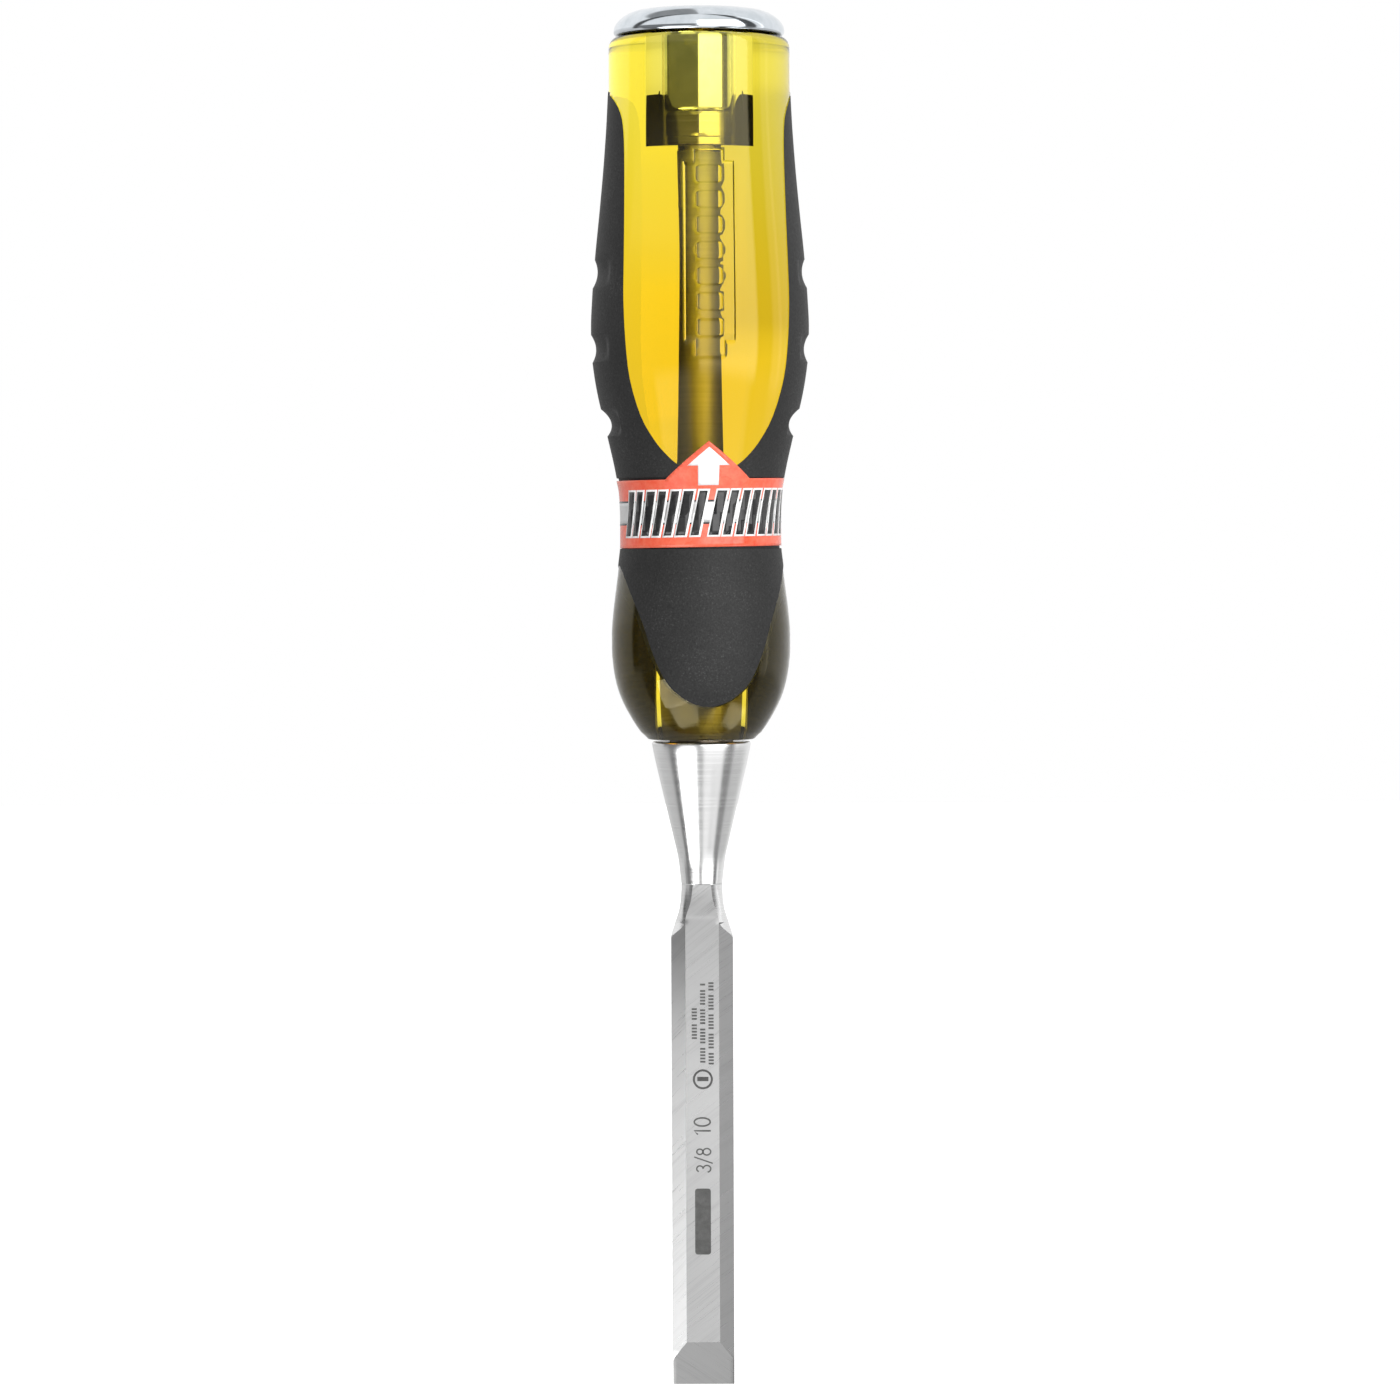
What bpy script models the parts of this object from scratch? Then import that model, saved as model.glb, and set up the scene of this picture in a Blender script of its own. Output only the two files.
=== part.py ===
"""Bench chisel with a through tang and a struck steel cap.

Metres, +Z up. Z = 0 is the cutting edge and the tool stands on it, cap at the top. The tool's axis is the Z axis.
The blade's bevelled face looks along -Y and its flat back along +Y. All the tables below are in millimetres.
"""

import math

import bmesh
import bpy

MM = 0.001
GAP = 0.3  # clearance left between pieces that touch on the real tool

# Overall
CAP_TOP_Z = 222.3
HANDLE_TOP_Z = 217.6
HANDLE_BOTTOM_Z = 104.8
HANDLE_CLOCKING = math.radians(5.3)  # the handle is turned this far from the blade about the axis
SEGMENTS = 48

# Blade
BLADE_HALF_WIDTH = 5.0
BLADE_BACK_Y = 2.2
FLAT_HALF_WIDTH = 2.7  # the flat left between the two side bevels
SIDE_BEVEL_DROP = 1.38  # how far each side bevel falls away by the blade's edge
TIP_FRONT_Y, SHOULDER_FRONT_Y = -1.16, -1.9  # the blade tapers thinner towards the cutting edge
EDGE_LAND = 0.08
CUTTING_BEVEL_Z = 7.25
FLAT_RUN_OUT_Z = (76.2, 81.4)  # where the ground flat climbs out through the neck
FLAT_RUN_OUT_Y = -3.08
BACK_RUN_OUT_Z = (74.4, 80.9)

# Forging above the blade: (z, half width) of the shoulder, then (z, radius) of the neck and the bolster
SHOULDER = [(72.9, 5.0), (73.9, 4.72), (74.5, 4.5), (75.2, 4.3), (76.1, 4.0), (77.3, 3.66), (78.9, 3.42), (80.5, 3.31)]
BOLSTER = [
    (80.5, 3.31),
    (82.3, 3.31),
    (85.5, 3.74),
    (88.7, 4.5),
    (91.9, 5.27),
    (95.2, 5.98),
    (98.4, 6.76),
    (101.6, 7.53),
    (104.0, 7.98),
]
BOLSTER_TOP_Z = 104.5
BOSS_RADIUS, BOSS_TOP_Z = 4.8, 117.7
KEY_DEPTH, KEY_TOP_Z = 0.5, 106.3
TANG = [(118.5, 3.0), (130.0, 2.82), (149.0, 2.56), (166.0, 2.33), (183.0, 2.15), (206.6, 2.15)]
TANG_TOP_Z = 207.3

# Handle: (z, radius) of the outer surface
HANDLE = [
    (104.8, 8.55),
    (105.2, 8.95),
    (106.1, 9.95),
    (107.4, 10.88),
    (108.7, 11.65),
    (110.0, 12.36),
    (111.5, 13.06),
    (113.8, 13.8),
    (116.4, 14.28),
    (119.4, 14.52),
    (121.8, 14.52),
    (125.4, 14.25),
    (129.3, 13.76),
    (133.1, 13.3),
    (136.3, 12.98),
    (140.8, 12.94),
    (144.2, 13.1),
    (147.1, 13.56),
    (149.8, 14.1),
    (153.0, 14.84),
    (156.3, 15.6),
    (160.1, 16.48),
    (163.0, 17.0),
    (166.2, 17.38),
    (171.1, 17.56),
    (175.7, 17.36),
    (182.2, 16.87),
    (190.0, 16.08),
    (197.8, 15.37),
    (205.5, 14.85),
    (210.0, 14.68),
    (215.8, 14.68),
    (216.9, 14.38),
    (217.6, 13.75),
]
SOCKET_RADIUS, SOCKET_TOP_Z = 5.12, 118.0
COUNTERBORE_RADIUS, COUNTERBORE_FLOOR_Z = 5.9, 199.6

# Grip
RUBBER_THICKNESS = 1.7
AMBER_SINK = 0.12  # the bare amber lies this far under the rubber's surface
NOTCHES = [(155.8, 4.4, 1.15), (167.7, 4.5, 0.72), (179.7, 4.6, 0.62)]  # z of the middle, length, depth
NOTCH_HALF_ANGLE = math.radians(28)
# Half outline of the window, from the lobes at the silhouette down to the bottom of the U
WINDOW = [
    (15.3, 209.0),
    (14.6, 208.2),
    (14.0, 207.0),
    (13.4, 205.5),
    (13.05, 203.2),
    (13.0, 198.6),
    (13.2, 188.6),
    (13.4, 180.6),
    (13.5, 175.1),
    (13.2, 168.6),
    (12.3, 162.5),
    (10.6, 156.7),
    (8.6, 153.0),
    (6.8, 150.7),
    (4.95, 149.0),
    (2.6, 147.7),
]
WINDOW_BOTTOM_Z = 147.2
BACK_WINDOW_SHARE, BACK_LOBE_Z = 0.55, 208.3  # at the back the window is this much narrower
# Half outline of the tongue, from the silhouette down to its tip
TONGUE = [
    (14.2, 134.5),
    (13.2, 132.7),
    (12.55, 130.4),
    (11.85, 128.1),
    (10.3, 123.7),
    (8.8, 118.8),
    (6.8, 114.4),
    (4.6, 112.1),
    (2.4, 110.8),
]
TONGUE_TIP_Z = 110.3

# Label
LABEL_Z = (135.8, 146.6)
LABEL_THICKNESS = 0.22
LABEL_PEAK_RISE = 6.0
LABEL_PEAK_HALF_ANGLE = math.radians(30)

# Raised panel frame on the front of the amber
PANEL_HALF_WIDTH, PANEL_Z = 4.3, (167.5, 198.7)
PANEL_LINE, PANEL_CORNER = 0.45, 1.6

# Cap, nut and washer
CAP_RADIUS = 13.75
CAP_DOME = [
    (6.4, CAP_TOP_Z),
    (9.9, 221.92),
    (11.45, 221.4),
    (12.35, 220.85),
    (13.0, 220.3),
    (13.45, 219.7),
    (13.75, 219.1),
    (13.75, 218.3),
    (13.4, 217.9),
]
SHANK_RADIUS, SHANK_BOTTOM_Z = 5.55, 205.3
SHANK_HOLE_RADIUS, SHANK_HOLE_TOP_Z = 2.6, 208.3
NUT_Z, NUT_ACROSS_FLATS = (201.3, 205.0), 9.6
WASHER_Z, WASHER_RADIUS = (199.9, 201.0), 5.55


def clear_scene():
    for obj in list(bpy.data.objects):
        bpy.data.objects.remove(obj, do_unlink=True)


def material(name, color, metallic=0.0, roughness=0.4, transmission=0.0):
    made = bpy.data.materials.new(name)
    made.use_nodes = True
    shader = made.node_tree.nodes["Principled BSDF"]
    shader.inputs["Base Color"].default_value = (*color, 1.0)
    shader.inputs["Metallic"].default_value = metallic
    shader.inputs["Roughness"].default_value = roughness
    shader.inputs["Transmission Weight"].default_value = transmission
    made.diffuse_color = (*color, 1.0)
    return made


def between(table, z):
    """Smooth value of a (z, value) table, by cubic pieces that keep the slope of the neighbouring points."""
    if z <= table[0][0]:
        return table[0][1]
    if z >= table[-1][0]:
        return table[-1][1]
    index = max(i for i in range(len(table) - 1) if table[i][0] <= z)

    def slope(i):
        if i in (0, len(table) - 1):
            j = min(i, len(table) - 2)
            return (table[j + 1][1] - table[j][1]) / (table[j + 1][0] - table[j][0])
        before = (table[i][1] - table[i - 1][1]) / (table[i][0] - table[i - 1][0])
        after = (table[i + 1][1] - table[i][1]) / (table[i + 1][0] - table[i][0])
        return 0.0 if before * after <= 0 else 2 * before * after / (before + after)

    (z0, v0), (z1, v1) = table[index], table[index + 1]
    span = z1 - z0
    t = (z - z0) / span
    return (
        v0 * (1 + 2 * t) * (1 - t) ** 2
        + v1 * t * t * (3 - 2 * t)
        + slope(index) * span * t * (1 - t) ** 2
        - slope(index + 1) * span * t * t * (1 - t)
    )


def solid(name, points, faces, mat, sharp=35.0, turn=0.0):
    """A mesh object from points in millimetres, turned about the axis, smooth except over sharp edges."""
    c, s = math.cos(turn), math.sin(turn)
    mesh = bpy.data.meshes.new(name)
    mesh.from_pydata([((x * c - y * s) * MM, (x * s + y * c) * MM, z * MM) for x, y, z in points], [], faces)
    tidy = bmesh.new()
    tidy.from_mesh(mesh)
    bmesh.ops.recalc_face_normals(tidy, faces=tidy.faces)
    tidy.to_mesh(mesh)
    tidy.free()
    mesh.shade_smooth()
    mesh.set_sharp_from_angle(angle=math.radians(sharp))
    if mat:
        mesh.materials.append(mat)
    obj = bpy.data.objects.new(name, mesh)
    bpy.context.scene.collection.objects.link(obj)
    return obj


def lathe(profile, segments=SEGMENTS, carve=None):
    """Points and faces of a closed (radius, z) loop turned about the axis. carve moves the radius by angle."""
    count = len(profile)
    points, faces = [], []
    for k in range(segments):
        angle = 2 * math.pi * k / segments
        for radius, z in profile:
            r = radius - (carve(radius, z, angle) if carve else 0.0)
            points.append((r * math.cos(angle), r * math.sin(angle), z))
    for k in range(segments):
        a, b = k * count, (k + 1) % segments * count
        for i in range(count):
            j = (i + 1) % count
            faces.append((a + i, b + i, b + j, a + j))
    return points, faces


def cap_ring(first, count):
    return tuple(range(first, first + count))


def loft(sections, first_cap=None):
    """Points and faces of a closed body through sections with the same number of points, bottom to top."""
    count = len(sections[0])
    points = [point for section in sections for point in section]
    faces = first_cap or [cap_ring(0, count)[::-1]]
    faces = faces + [cap_ring((len(sections) - 1) * count, count)]
    for row in range(len(sections) - 1):
        a, b = row * count, (row + 1) * count
        for i in range(count):
            j = (i + 1) % count
            faces.append((a + i, a + j, b + j, b + i))
    return points, faces


def prism(name, slices):
    """A hidden cutter through (y, outline) slices, each outline in X and Z, turned with the handle."""
    count = len(slices[0][1])
    points = [(x, y, z) for y, outline in slices for x, z in outline]
    faces = [cap_ring(0, count), cap_ring((len(slices) - 1) * count, count)[::-1]]
    for row in range(len(slices) - 1):
        a, b = row * count, (row + 1) * count
        for i in range(count):
            j = (i + 1) % count
            faces.append((a + i, b + i, b + j, a + j))
    return cutter(solid(name, points, faces, None, turn=HANDLE_CLOCKING))


def cutter(obj):
    obj.hide_render = True
    obj.display_type = "WIRE"
    return obj


def boolean(obj, other, operation="DIFFERENCE"):
    modifier = obj.modifiers.new(other.name, "BOOLEAN")
    modifier.operation = operation
    modifier.object = other
    modifier.solver = "EXACT"


# Blade, neck, bolster and tang


def front_y(z):
    return TIP_FRONT_Y + (SHOULDER_FRONT_Y - TIP_FRONT_Y) * z / FLAT_RUN_OUT_Z[0]


def outline_at(z, t):
    """Right-hand outline of the forging before grinding: t runs from 0 at the front (-Y) to 1 at the back (+Y)."""
    width = between(SHOULDER, z)
    blend = min(max((z - SHOULDER[0][0]) / (SHOULDER[-1][0] - SHOULDER[0][0]), 0.0), 1.0)
    power = 2.0 + 14.0 * (1 - blend) ** 2
    angle = math.pi * t
    x = width * math.sin(angle) ** (2 / power)
    y = -3.31 * math.copysign(abs(math.cos(angle)) ** (2 / power), math.cos(angle))
    return x, y


def crossing(z, side):
    """The t at which the outline before grinding meets a line: side(x, y) is negative on the ground-off side."""
    low, high = 0.001, 0.5
    for _ in range(40):
        middle = (low + high) / 2
        if side(*outline_at(z, middle)) < 0:
            low = middle
        else:
            high = middle
    return high


def back_crossing(z, y):
    low, high = 0.5, 0.999
    for _ in range(40):
        middle = (low + high) / 2
        if outline_at(z, middle)[1] > y:
            high = middle
        else:
            low = middle
    return low


def straight(a, b, steps):
    return [(a[0] + (b[0] - a[0]) * i / steps, a[1] + (b[1] - a[1]) * i / steps) for i in range(steps)]


FRONT_STEPS, BEVEL_STEPS, SIDE_STEPS, BACK_STEPS = 4, 3, 8, 5


def whole(half, z):
    """Both sides of a section from the points of its right half, front middle first and back middle last."""
    return [(x, y, z) for x, y in half] + [(-x, y, z) for x, y in half[-2:0:-1]]


def blade_section(z):
    flat, back, edge = front_y(z), BLADE_BACK_Y, BLADE_HALF_WIDTH
    shoulder = flat + SIDE_BEVEL_DROP
    cut = back - EDGE_LAND - z * (back - EDGE_LAND - front_y(CUTTING_BEVEL_Z)) / CUTTING_BEVEL_Z
    if cut <= flat:
        front, bevel_end = (FLAT_HALF_WIDTH, flat), (edge, shoulder)
    elif cut < shoulder - 0.03:
        t = (cut - flat) / SIDE_BEVEL_DROP
        front = (FLAT_HALF_WIDTH + t * (edge - FLAT_HALF_WIDTH), cut)
        bevel_end = (edge, shoulder)
    else:
        front, bevel_end = (edge - 0.12, cut), (edge, cut + 0.02)
    half = straight((0.0, front[1]), front, FRONT_STEPS) + straight(front, bevel_end, BEVEL_STEPS)
    half += straight(bevel_end, (edge, back), SIDE_STEPS) + straight((edge, back), (0.0, back), BACK_STEPS)
    return whole(half + [(0.0, back)], z)


def ground_y(z):
    """Front flat in the neck: it climbs with the grinding wheel's radius, then ends in a small step."""
    low, high = FLAT_RUN_OUT_Z
    t = min(max((z - low) / (high - low), 0.0), 1.0)
    return SHOULDER_FRONT_Y + (FLAT_RUN_OUT_Y - SHOULDER_FRONT_Y) * (0.45 * t + 0.55 * t * t)


def back_points(z, tail):
    """Back of a shoulder section: flat below, swelling into the round of the neck above."""
    low, high = BACK_RUN_OUT_Z
    swell = min(max((z - low) / (high - low), 0.0), 1.0) ** 2
    points = []
    for i in range(BACK_STEPS + 1):
        x, y = outline_at(z, tail + (1.0 - tail) * i / BACK_STEPS)
        points.append((x, BLADE_BACK_Y + (y - BLADE_BACK_Y) * swell))
    return points


def shoulder_section(z):
    flat = ground_y(z) if z > FLAT_RUN_OUT_Z[0] else front_y(z)
    slope = SIDE_BEVEL_DROP / (BLADE_HALF_WIDTH - FLAT_HALF_WIDTH)
    end = crossing(z, lambda x, y: (y - flat) - max(x - FLAT_HALF_WIDTH, 0.0) * slope)
    x_end, y_end = outline_at(z, end)
    tail = back_crossing(z, BLADE_BACK_Y)
    side_steps = SIDE_STEPS
    if x_end > FLAT_HALF_WIDTH + 0.15:
        front = (FLAT_HALF_WIDTH, flat)
        half = straight((0.0, flat), front, FRONT_STEPS) + straight(front, (x_end, y_end), BEVEL_STEPS)
    else:
        front = (x_end, flat)
        half = straight((0.0, flat), front, FRONT_STEPS)
        side_steps += BEVEL_STEPS
    half += [front if i == 0 and side_steps > SIDE_STEPS else outline_at(z, end + (tail - end) * i / side_steps)
             for i in range(side_steps)]
    return whole(half + back_points(z, tail), z)


def round_section(z, radius, keys=False):
    steps = FRONT_STEPS + BEVEL_STEPS + SIDE_STEPS + BACK_STEPS
    section = []
    for i in range(2 * steps):
        angle = math.pi * i / steps
        r = radius - (KEY_DEPTH if keys and i % 4 in (2, 3) else 0.0)
        section.append((r * math.sin(angle), -r * math.cos(angle), z))
    return section


def edge_faces():
    """Faces of the narrow land at the cutting edge, laid out so that none of them is a line."""
    last = FRONT_STEPS + BEVEL_STEPS + SIDE_STEPS
    middle = last + BACK_STEPS
    right = [(i, i + 1, middle - i - 1, middle - i) for i in range(FRONT_STEPS)]
    right += [(middle - FRONT_STEPS, i, i + 1) for i in range(FRONT_STEPS, last)]
    left = [tuple((2 * middle - i) % (2 * middle) for i in face[::-1]) for face in right]
    return right + left


def make_blade_tang(mat):
    sections = [blade_section(z) for z in (0.0, 4.2, 4.55, 5.85, CUTTING_BEVEL_Z, 29.0, 51.0, 72.8)]
    levels = (73.4, 74.0, 74.6, 75.2, 75.8, 76.4, 77.1, 77.9, 78.7, 79.6, 80.5, FLAT_RUN_OUT_Z[1])
    sections += [shoulder_section(z) for z in levels]
    sections.append(round_section(FLAT_RUN_OUT_Z[1] + 0.15, 3.31))
    for z in (83.3, 85.1, 86.9, 88.9, 91.4, 93.9, 96.4, 98.9, 101.4, 104.0):
        sections.append(round_section(z, between(BOLSTER, z)))
    sections.append(round_section(BOLSTER_TOP_Z, 7.65))
    sections.append(round_section(BOLSTER_TOP_Z, BOSS_RADIUS, keys=True))
    sections.append(round_section(KEY_TOP_Z, BOSS_RADIUS, keys=True))
    sections.append(round_section(KEY_TOP_Z + 0.2, BOSS_RADIUS))
    sections.append(round_section(BOSS_TOP_Z - 0.5, BOSS_RADIUS))
    sections.append(round_section(BOSS_TOP_Z, BOSS_RADIUS - 0.5))
    sections += [round_section(z, radius) for z, radius in TANG]
    sections.append(round_section(TANG_TOP_Z, 1.6))
    points, faces = loft(sections, edge_faces())
    return solid("blade_tang", points, faces, mat, sharp=20)


# Handle


def handle_rows(low, high):
    return [z for z, _ in HANDLE if low < z < high]


def recess_rows(low, high):
    return [low] + handle_rows(low, high) + [high]


def mirrored(half):
    return half + [(-x, z) for x, z in reversed(half) if x > 0]


def grown(outline, amount):
    """Outline moved sideways along its own normal, for the clearance round the rubber."""
    moved = []
    for i, (x, z) in enumerate(outline):
        (x0, z0), (x1, z1) = outline[max(i - 1, 0)], outline[min(i + 1, len(outline) - 1)]
        dx, dz = x1 - x0, z1 - z0
        length = math.hypot(dx, dz)
        moved.append((x - dz / length * amount, z + dx / length * amount))
    return moved


def window_cutter(name, clearance):
    """Everything inside the window and above the side lobes, front to back. clearance makes it narrower."""
    half = grown(WINDOW, -clearance)
    lobe = BACK_LOBE_Z + clearance
    back = [(x * BACK_WINDOW_SHARE, min(z, lobe - 0.02 * i)) for i, (x, z) in enumerate(half)]
    bottom = (0.0, WINDOW_BOTTOM_Z + clearance)
    front_outline, back_outline = (
        mirrored([(24.0, 213.0), (24.0, side[0][1])] + side + [bottom]) for side in (half, back)
    )
    return prism(name, [(-24.0, front_outline), (-0.3, front_outline), (0.3, back_outline), (24.0, back_outline)])


def tongue_cutter(name, clearance):
    """Everything outside the tongue and below the waist, front to back. clearance makes it stand further off."""
    half = grown(TONGUE, clearance)
    tip = (0.0, TONGUE_TIP_Z - clearance)
    inner = [(24.0, half[0][1])] + half + [tip]
    outline = mirrored(inner) + [(-24.0, 106.5), (24.0, 106.5)]
    return prism(name, [(-24.0, outline), (24.0, outline)])


def bore_profile():
    """Inside of the handle, from the counterbore's mouth down to the socket's mouth."""
    tang = [(radius + GAP, z) for z, radius in reversed(TANG[1:-1])]
    return [
        (COUNTERBORE_RADIUS + 0.4, HANDLE_TOP_Z),
        (COUNTERBORE_RADIUS, HANDLE_TOP_Z - 0.4),
        (COUNTERBORE_RADIUS, COUNTERBORE_FLOOR_Z),
        (TANG[-1][1] + GAP, COUNTERBORE_FLOOR_Z),
        *tang,
        (TANG[0][1] + GAP, SOCKET_TOP_Z + 0.6),
        (SOCKET_RADIUS - 0.5, SOCKET_TOP_Z),
        (SOCKET_RADIUS, SOCKET_TOP_Z - 0.5),
        (SOCKET_RADIUS, HANDLE_BOTTOM_Z),
    ]


def make_handle_core(mat):
    outer = [(HANDLE[0][1], HANDLE[0][0])] + [(r - AMBER_SINK, z) for z, r in HANDLE[1:-1]]
    outer.append((HANDLE[-1][1], HANDLE[-1][0]))
    points, faces = lathe(outer + bore_profile())
    core = solid("handle_core", points, faces, mat, turn=HANDLE_CLOCKING)

    # The recess is a ring-shaped tool with the window and the bulb's bare sides left out of it.
    depth = RUBBER_THICKNESS + GAP
    rows = recess_rows(108.2, 211.0)
    loop = [(19.0, rows[0]), (19.0, rows[-1])] + [(between(HANDLE, z) - depth, z) for z in reversed(rows)]
    points, faces = lathe(loop)
    tool = cutter(solid("recess_tool", points, faces, None, turn=HANDLE_CLOCKING))
    boolean(tool, window_cutter("recess_window", GAP))
    boolean(tool, tongue_cutter("recess_tongue", GAP))
    boolean(core, tool)
    boolean(core, panel_tool(), "UNION")
    return core


def rounded_rectangle(half_width, low, high, corner):
    outline = []
    middle = (low + high) / 2
    half_height = (high - low) / 2
    for quarter in range(4):
        sx, sz = ((1, 1), (-1, 1), (-1, -1), (1, -1))[quarter]
        for step in range(4):
            angle = math.pi / 2 * (quarter + step / 3)
            x = sx * (half_width - corner) + corner * math.cos(angle)
            z = middle + sz * (half_height - corner) + corner * math.sin(angle)
            outline.append((x, z))
    return outline


def panel_tool():
    """The thin raised frame on the front of the amber, following its curve."""
    outer = rounded_rectangle(PANEL_HALF_WIDTH, *PANEL_Z, PANEL_CORNER)
    line = PANEL_LINE
    inner = rounded_rectangle(
        PANEL_HALF_WIDTH - line, PANEL_Z[0] + line, PANEL_Z[1] - line, PANEL_CORNER - line
    )
    points, faces = [], []
    for outline in (outer, inner):
        for lift in (0.22, -0.8):
            for x, z in outline:
                radius = between(HANDLE, z) - AMBER_SINK + lift
                points.append((x, -math.sqrt(radius * radius - x * x), z))
    count = len(outer)
    for i in range(count):
        j = (i + 1) % count
        for a, b in ((0, 1), (1, 3), (3, 2), (2, 0)):
            faces.append((a * count + i, a * count + j, b * count + j, b * count + i))
    return cutter(solid("panel_frame", points, faces, None, turn=HANDLE_CLOCKING))


def notch_depth(z, angle):
    """Depth of the finger notches: a round-bottomed scoop on each side that ends in a rounded wall."""
    side = abs(math.remainder(angle, math.pi))
    if side >= NOTCH_HALF_ANGLE:
        return 0.0
    for middle, length, depth in NOTCHES:
        along = abs(z - middle) / (length / 2)
        if along < 1.0:
            fade = min(1.0, (1.0 - (side / NOTCH_HALF_ANGLE) ** 4) * 1.6)
            return depth * (1 - along * along) * fade
    return 0.0


def grip_rows():
    """Levels of the rubber's outside, with an even set across each notch."""
    rows = set(recess_rows(108.2, 211.0))
    for middle, length, _ in NOTCHES:
        low, high = middle - length / 2, middle + length / 2
        rows = {z for z in rows if not low - 0.7 < z < high + 0.7}
        rows |= {low, high} | {middle + length * f for f in (-0.36, -0.18, 0.0, 0.18, 0.36)}
    for z in LABEL_Z:
        rows = {row for row in rows if abs(row - z) > 1.0}
    rows |= {LABEL_Z[0] - 0.3, LABEL_Z[0] - 0.2, LABEL_Z[1] + 0.2, LABEL_Z[1] + 0.3}
    return sorted(rows)


def rubber_radius(z):
    seat = LABEL_THICKNESS + GAP if LABEL_Z[0] - 0.25 < z < LABEL_Z[1] + 0.25 else 0.0
    return between(HANDLE, z) - seat


def make_grip_sleeve(mat):
    outside = [(rubber_radius(z), z) for z in grip_rows()]
    inner_levels = recess_rows(108.2, 211.0)
    inside = [(between(HANDLE, z) - RUBBER_THICKNESS, z) for z in reversed(inner_levels)]
    outer_radii = {z: radius for radius, z in outside}

    def carve(radius, z, angle):
        return notch_depth(z, angle) if outer_radii.get(z) == radius else 0.0

    points, faces = lathe(outside + inside, carve=carve)
    grip = solid("grip_sleeve", points, faces, mat, turn=HANDLE_CLOCKING)
    boolean(grip, window_cutter("grip_window", 0.0))
    boolean(grip, tongue_cutter("grip_tongue", 0.0))
    return grip


# Label, cap, nut and washer


def label_top(angle):
    """Top edge of the label: level, with a straight-sided peak on the front."""
    off = abs(math.remainder(angle + math.pi / 2, 2 * math.pi))
    return LABEL_Z[1] + LABEL_PEAK_RISE * max(0.0, 1.0 - off / LABEL_PEAK_HALF_ANGLE)


def label_radius(z, angle):
    """Outer surface of the label: in the seat round the waist, then just clear of the handle under the peak."""
    in_peak = label_top(angle) > LABEL_Z[1] + 0.1
    t = min(max((z - LABEL_Z[1] + 1.5) / 1.4, 0.0), 1.0) if in_peak else 0.0
    return between(HANDLE, z) + (GAP + LABEL_THICKNESS) * t


def make_label_sleeve(mat):
    columns, shares = 72, (0.0, 0.3, 0.6, 0.86, 1.0)
    points, faces = [], []
    for k in range(columns):
        angle = 2 * math.pi * k / columns
        lower = [LABEL_Z[0] + share * (LABEL_Z[1] - LABEL_Z[0]) for share in shares]
        upper = [LABEL_Z[1] + share * (label_top(angle) + 0.05 - LABEL_Z[1]) for share in (0.34, 0.67, 1.0)]
        for skin, levels in ((0.0, lower + upper), (LABEL_THICKNESS, (lower + upper)[::-1])):
            for z in levels:
                r = label_radius(z, angle) - skin
                points.append((r * math.cos(angle), r * math.sin(angle), z))
    count = 2 * (len(shares) + 3)
    for k in range(columns):
        a, b = k * count, (k + 1) % columns * count
        for i in range(count):
            j = (i + 1) % count
            faces.append((a + i, b + i, b + j, a + j))
    return solid("label_sleeve", points, faces, mat, turn=HANDLE_CLOCKING)


def make_strike_cap(mat):
    """Crown, lip, shank and the blind hole for the tang's end, as one turned body closed on the axis."""
    profile = CAP_DOME + [
        (SHANK_RADIUS, CAP_DOME[-1][1]),
        (SHANK_RADIUS, SHANK_BOTTOM_Z + 0.5),
        (SHANK_RADIUS - 0.5, SHANK_BOTTOM_Z),
        (SHANK_HOLE_RADIUS, SHANK_BOTTOM_Z),
        (SHANK_HOLE_RADIUS, SHANK_HOLE_TOP_Z),
    ]
    sections = []
    for radius, z in reversed(profile):
        ring = [2 * math.pi * k / SEGMENTS for k in range(SEGMENTS)]
        sections.append([(radius * math.cos(a), radius * math.sin(a), z) for a in ring])
    points, faces = loft(sections)
    return solid("strike_cap", points, faces, mat, sharp=40, turn=HANDLE_CLOCKING)


def make_tang_nut(mat):
    low, high = NUT_Z
    hole = TANG[-1][1] + GAP
    corner = NUT_ACROSS_FLATS / 2 / math.cos(math.pi / 6)
    points, faces = [], []
    for k in range(24):
        angle = 2 * math.pi * k / 24
        across = NUT_ACROSS_FLATS / 2 / math.cos(math.remainder(angle, math.pi / 3))
        bevelled = min(across, corner * 0.93)
        loop = [(hole, low), (bevelled, low), (across, low + 0.5), (across, high - 0.5), (bevelled, high)]
        points += [(r * math.cos(angle), r * math.sin(angle), z) for r, z in loop + [(hole, high)]]
    for k in range(24):
        a, b = k * 6, (k + 1) % 24 * 6
        faces += [(a + i, b + i, b + (i + 1) % 6, a + (i + 1) % 6) for i in range(6)]
    return solid("tang_nut", points, faces, mat)


def make_tang_washer(mat):
    low, high = WASHER_Z
    hole = TANG[-1][1] + GAP
    loop = [(hole, low), (WASHER_RADIUS, low), (WASHER_RADIUS, high), (hole, high)]
    points, faces = lathe(loop, segments=36)
    return solid("tang_washer", points, faces, mat)


def build():
    clear_scene()
    make_blade_tang(material("blade_steel", (0.58, 0.58, 0.57), metallic=1.0, roughness=0.3))
    make_handle_core(material("amber", (0.95, 0.62, 0.03), roughness=0.08, transmission=0.9))
    make_grip_sleeve(material("rubber_black", (0.045, 0.045, 0.048), roughness=0.75))
    make_label_sleeve(material("label_red", (0.78, 0.11, 0.05), roughness=0.45))
    make_strike_cap(material("cap_plating", (0.75, 0.77, 0.8), metallic=1.0, roughness=0.12))
    make_tang_nut(material("nut_steel", (0.5, 0.5, 0.5), metallic=1.0, roughness=0.35))
    make_tang_washer(material("washer_steel", (0.45, 0.45, 0.45), metallic=1.0, roughness=0.4))


build()
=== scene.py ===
"""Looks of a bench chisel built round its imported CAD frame. Metres, +Z up, the bevelled face along -Y."""

import math

import bmesh
import bpy
from mathutils import Matrix, Vector


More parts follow.
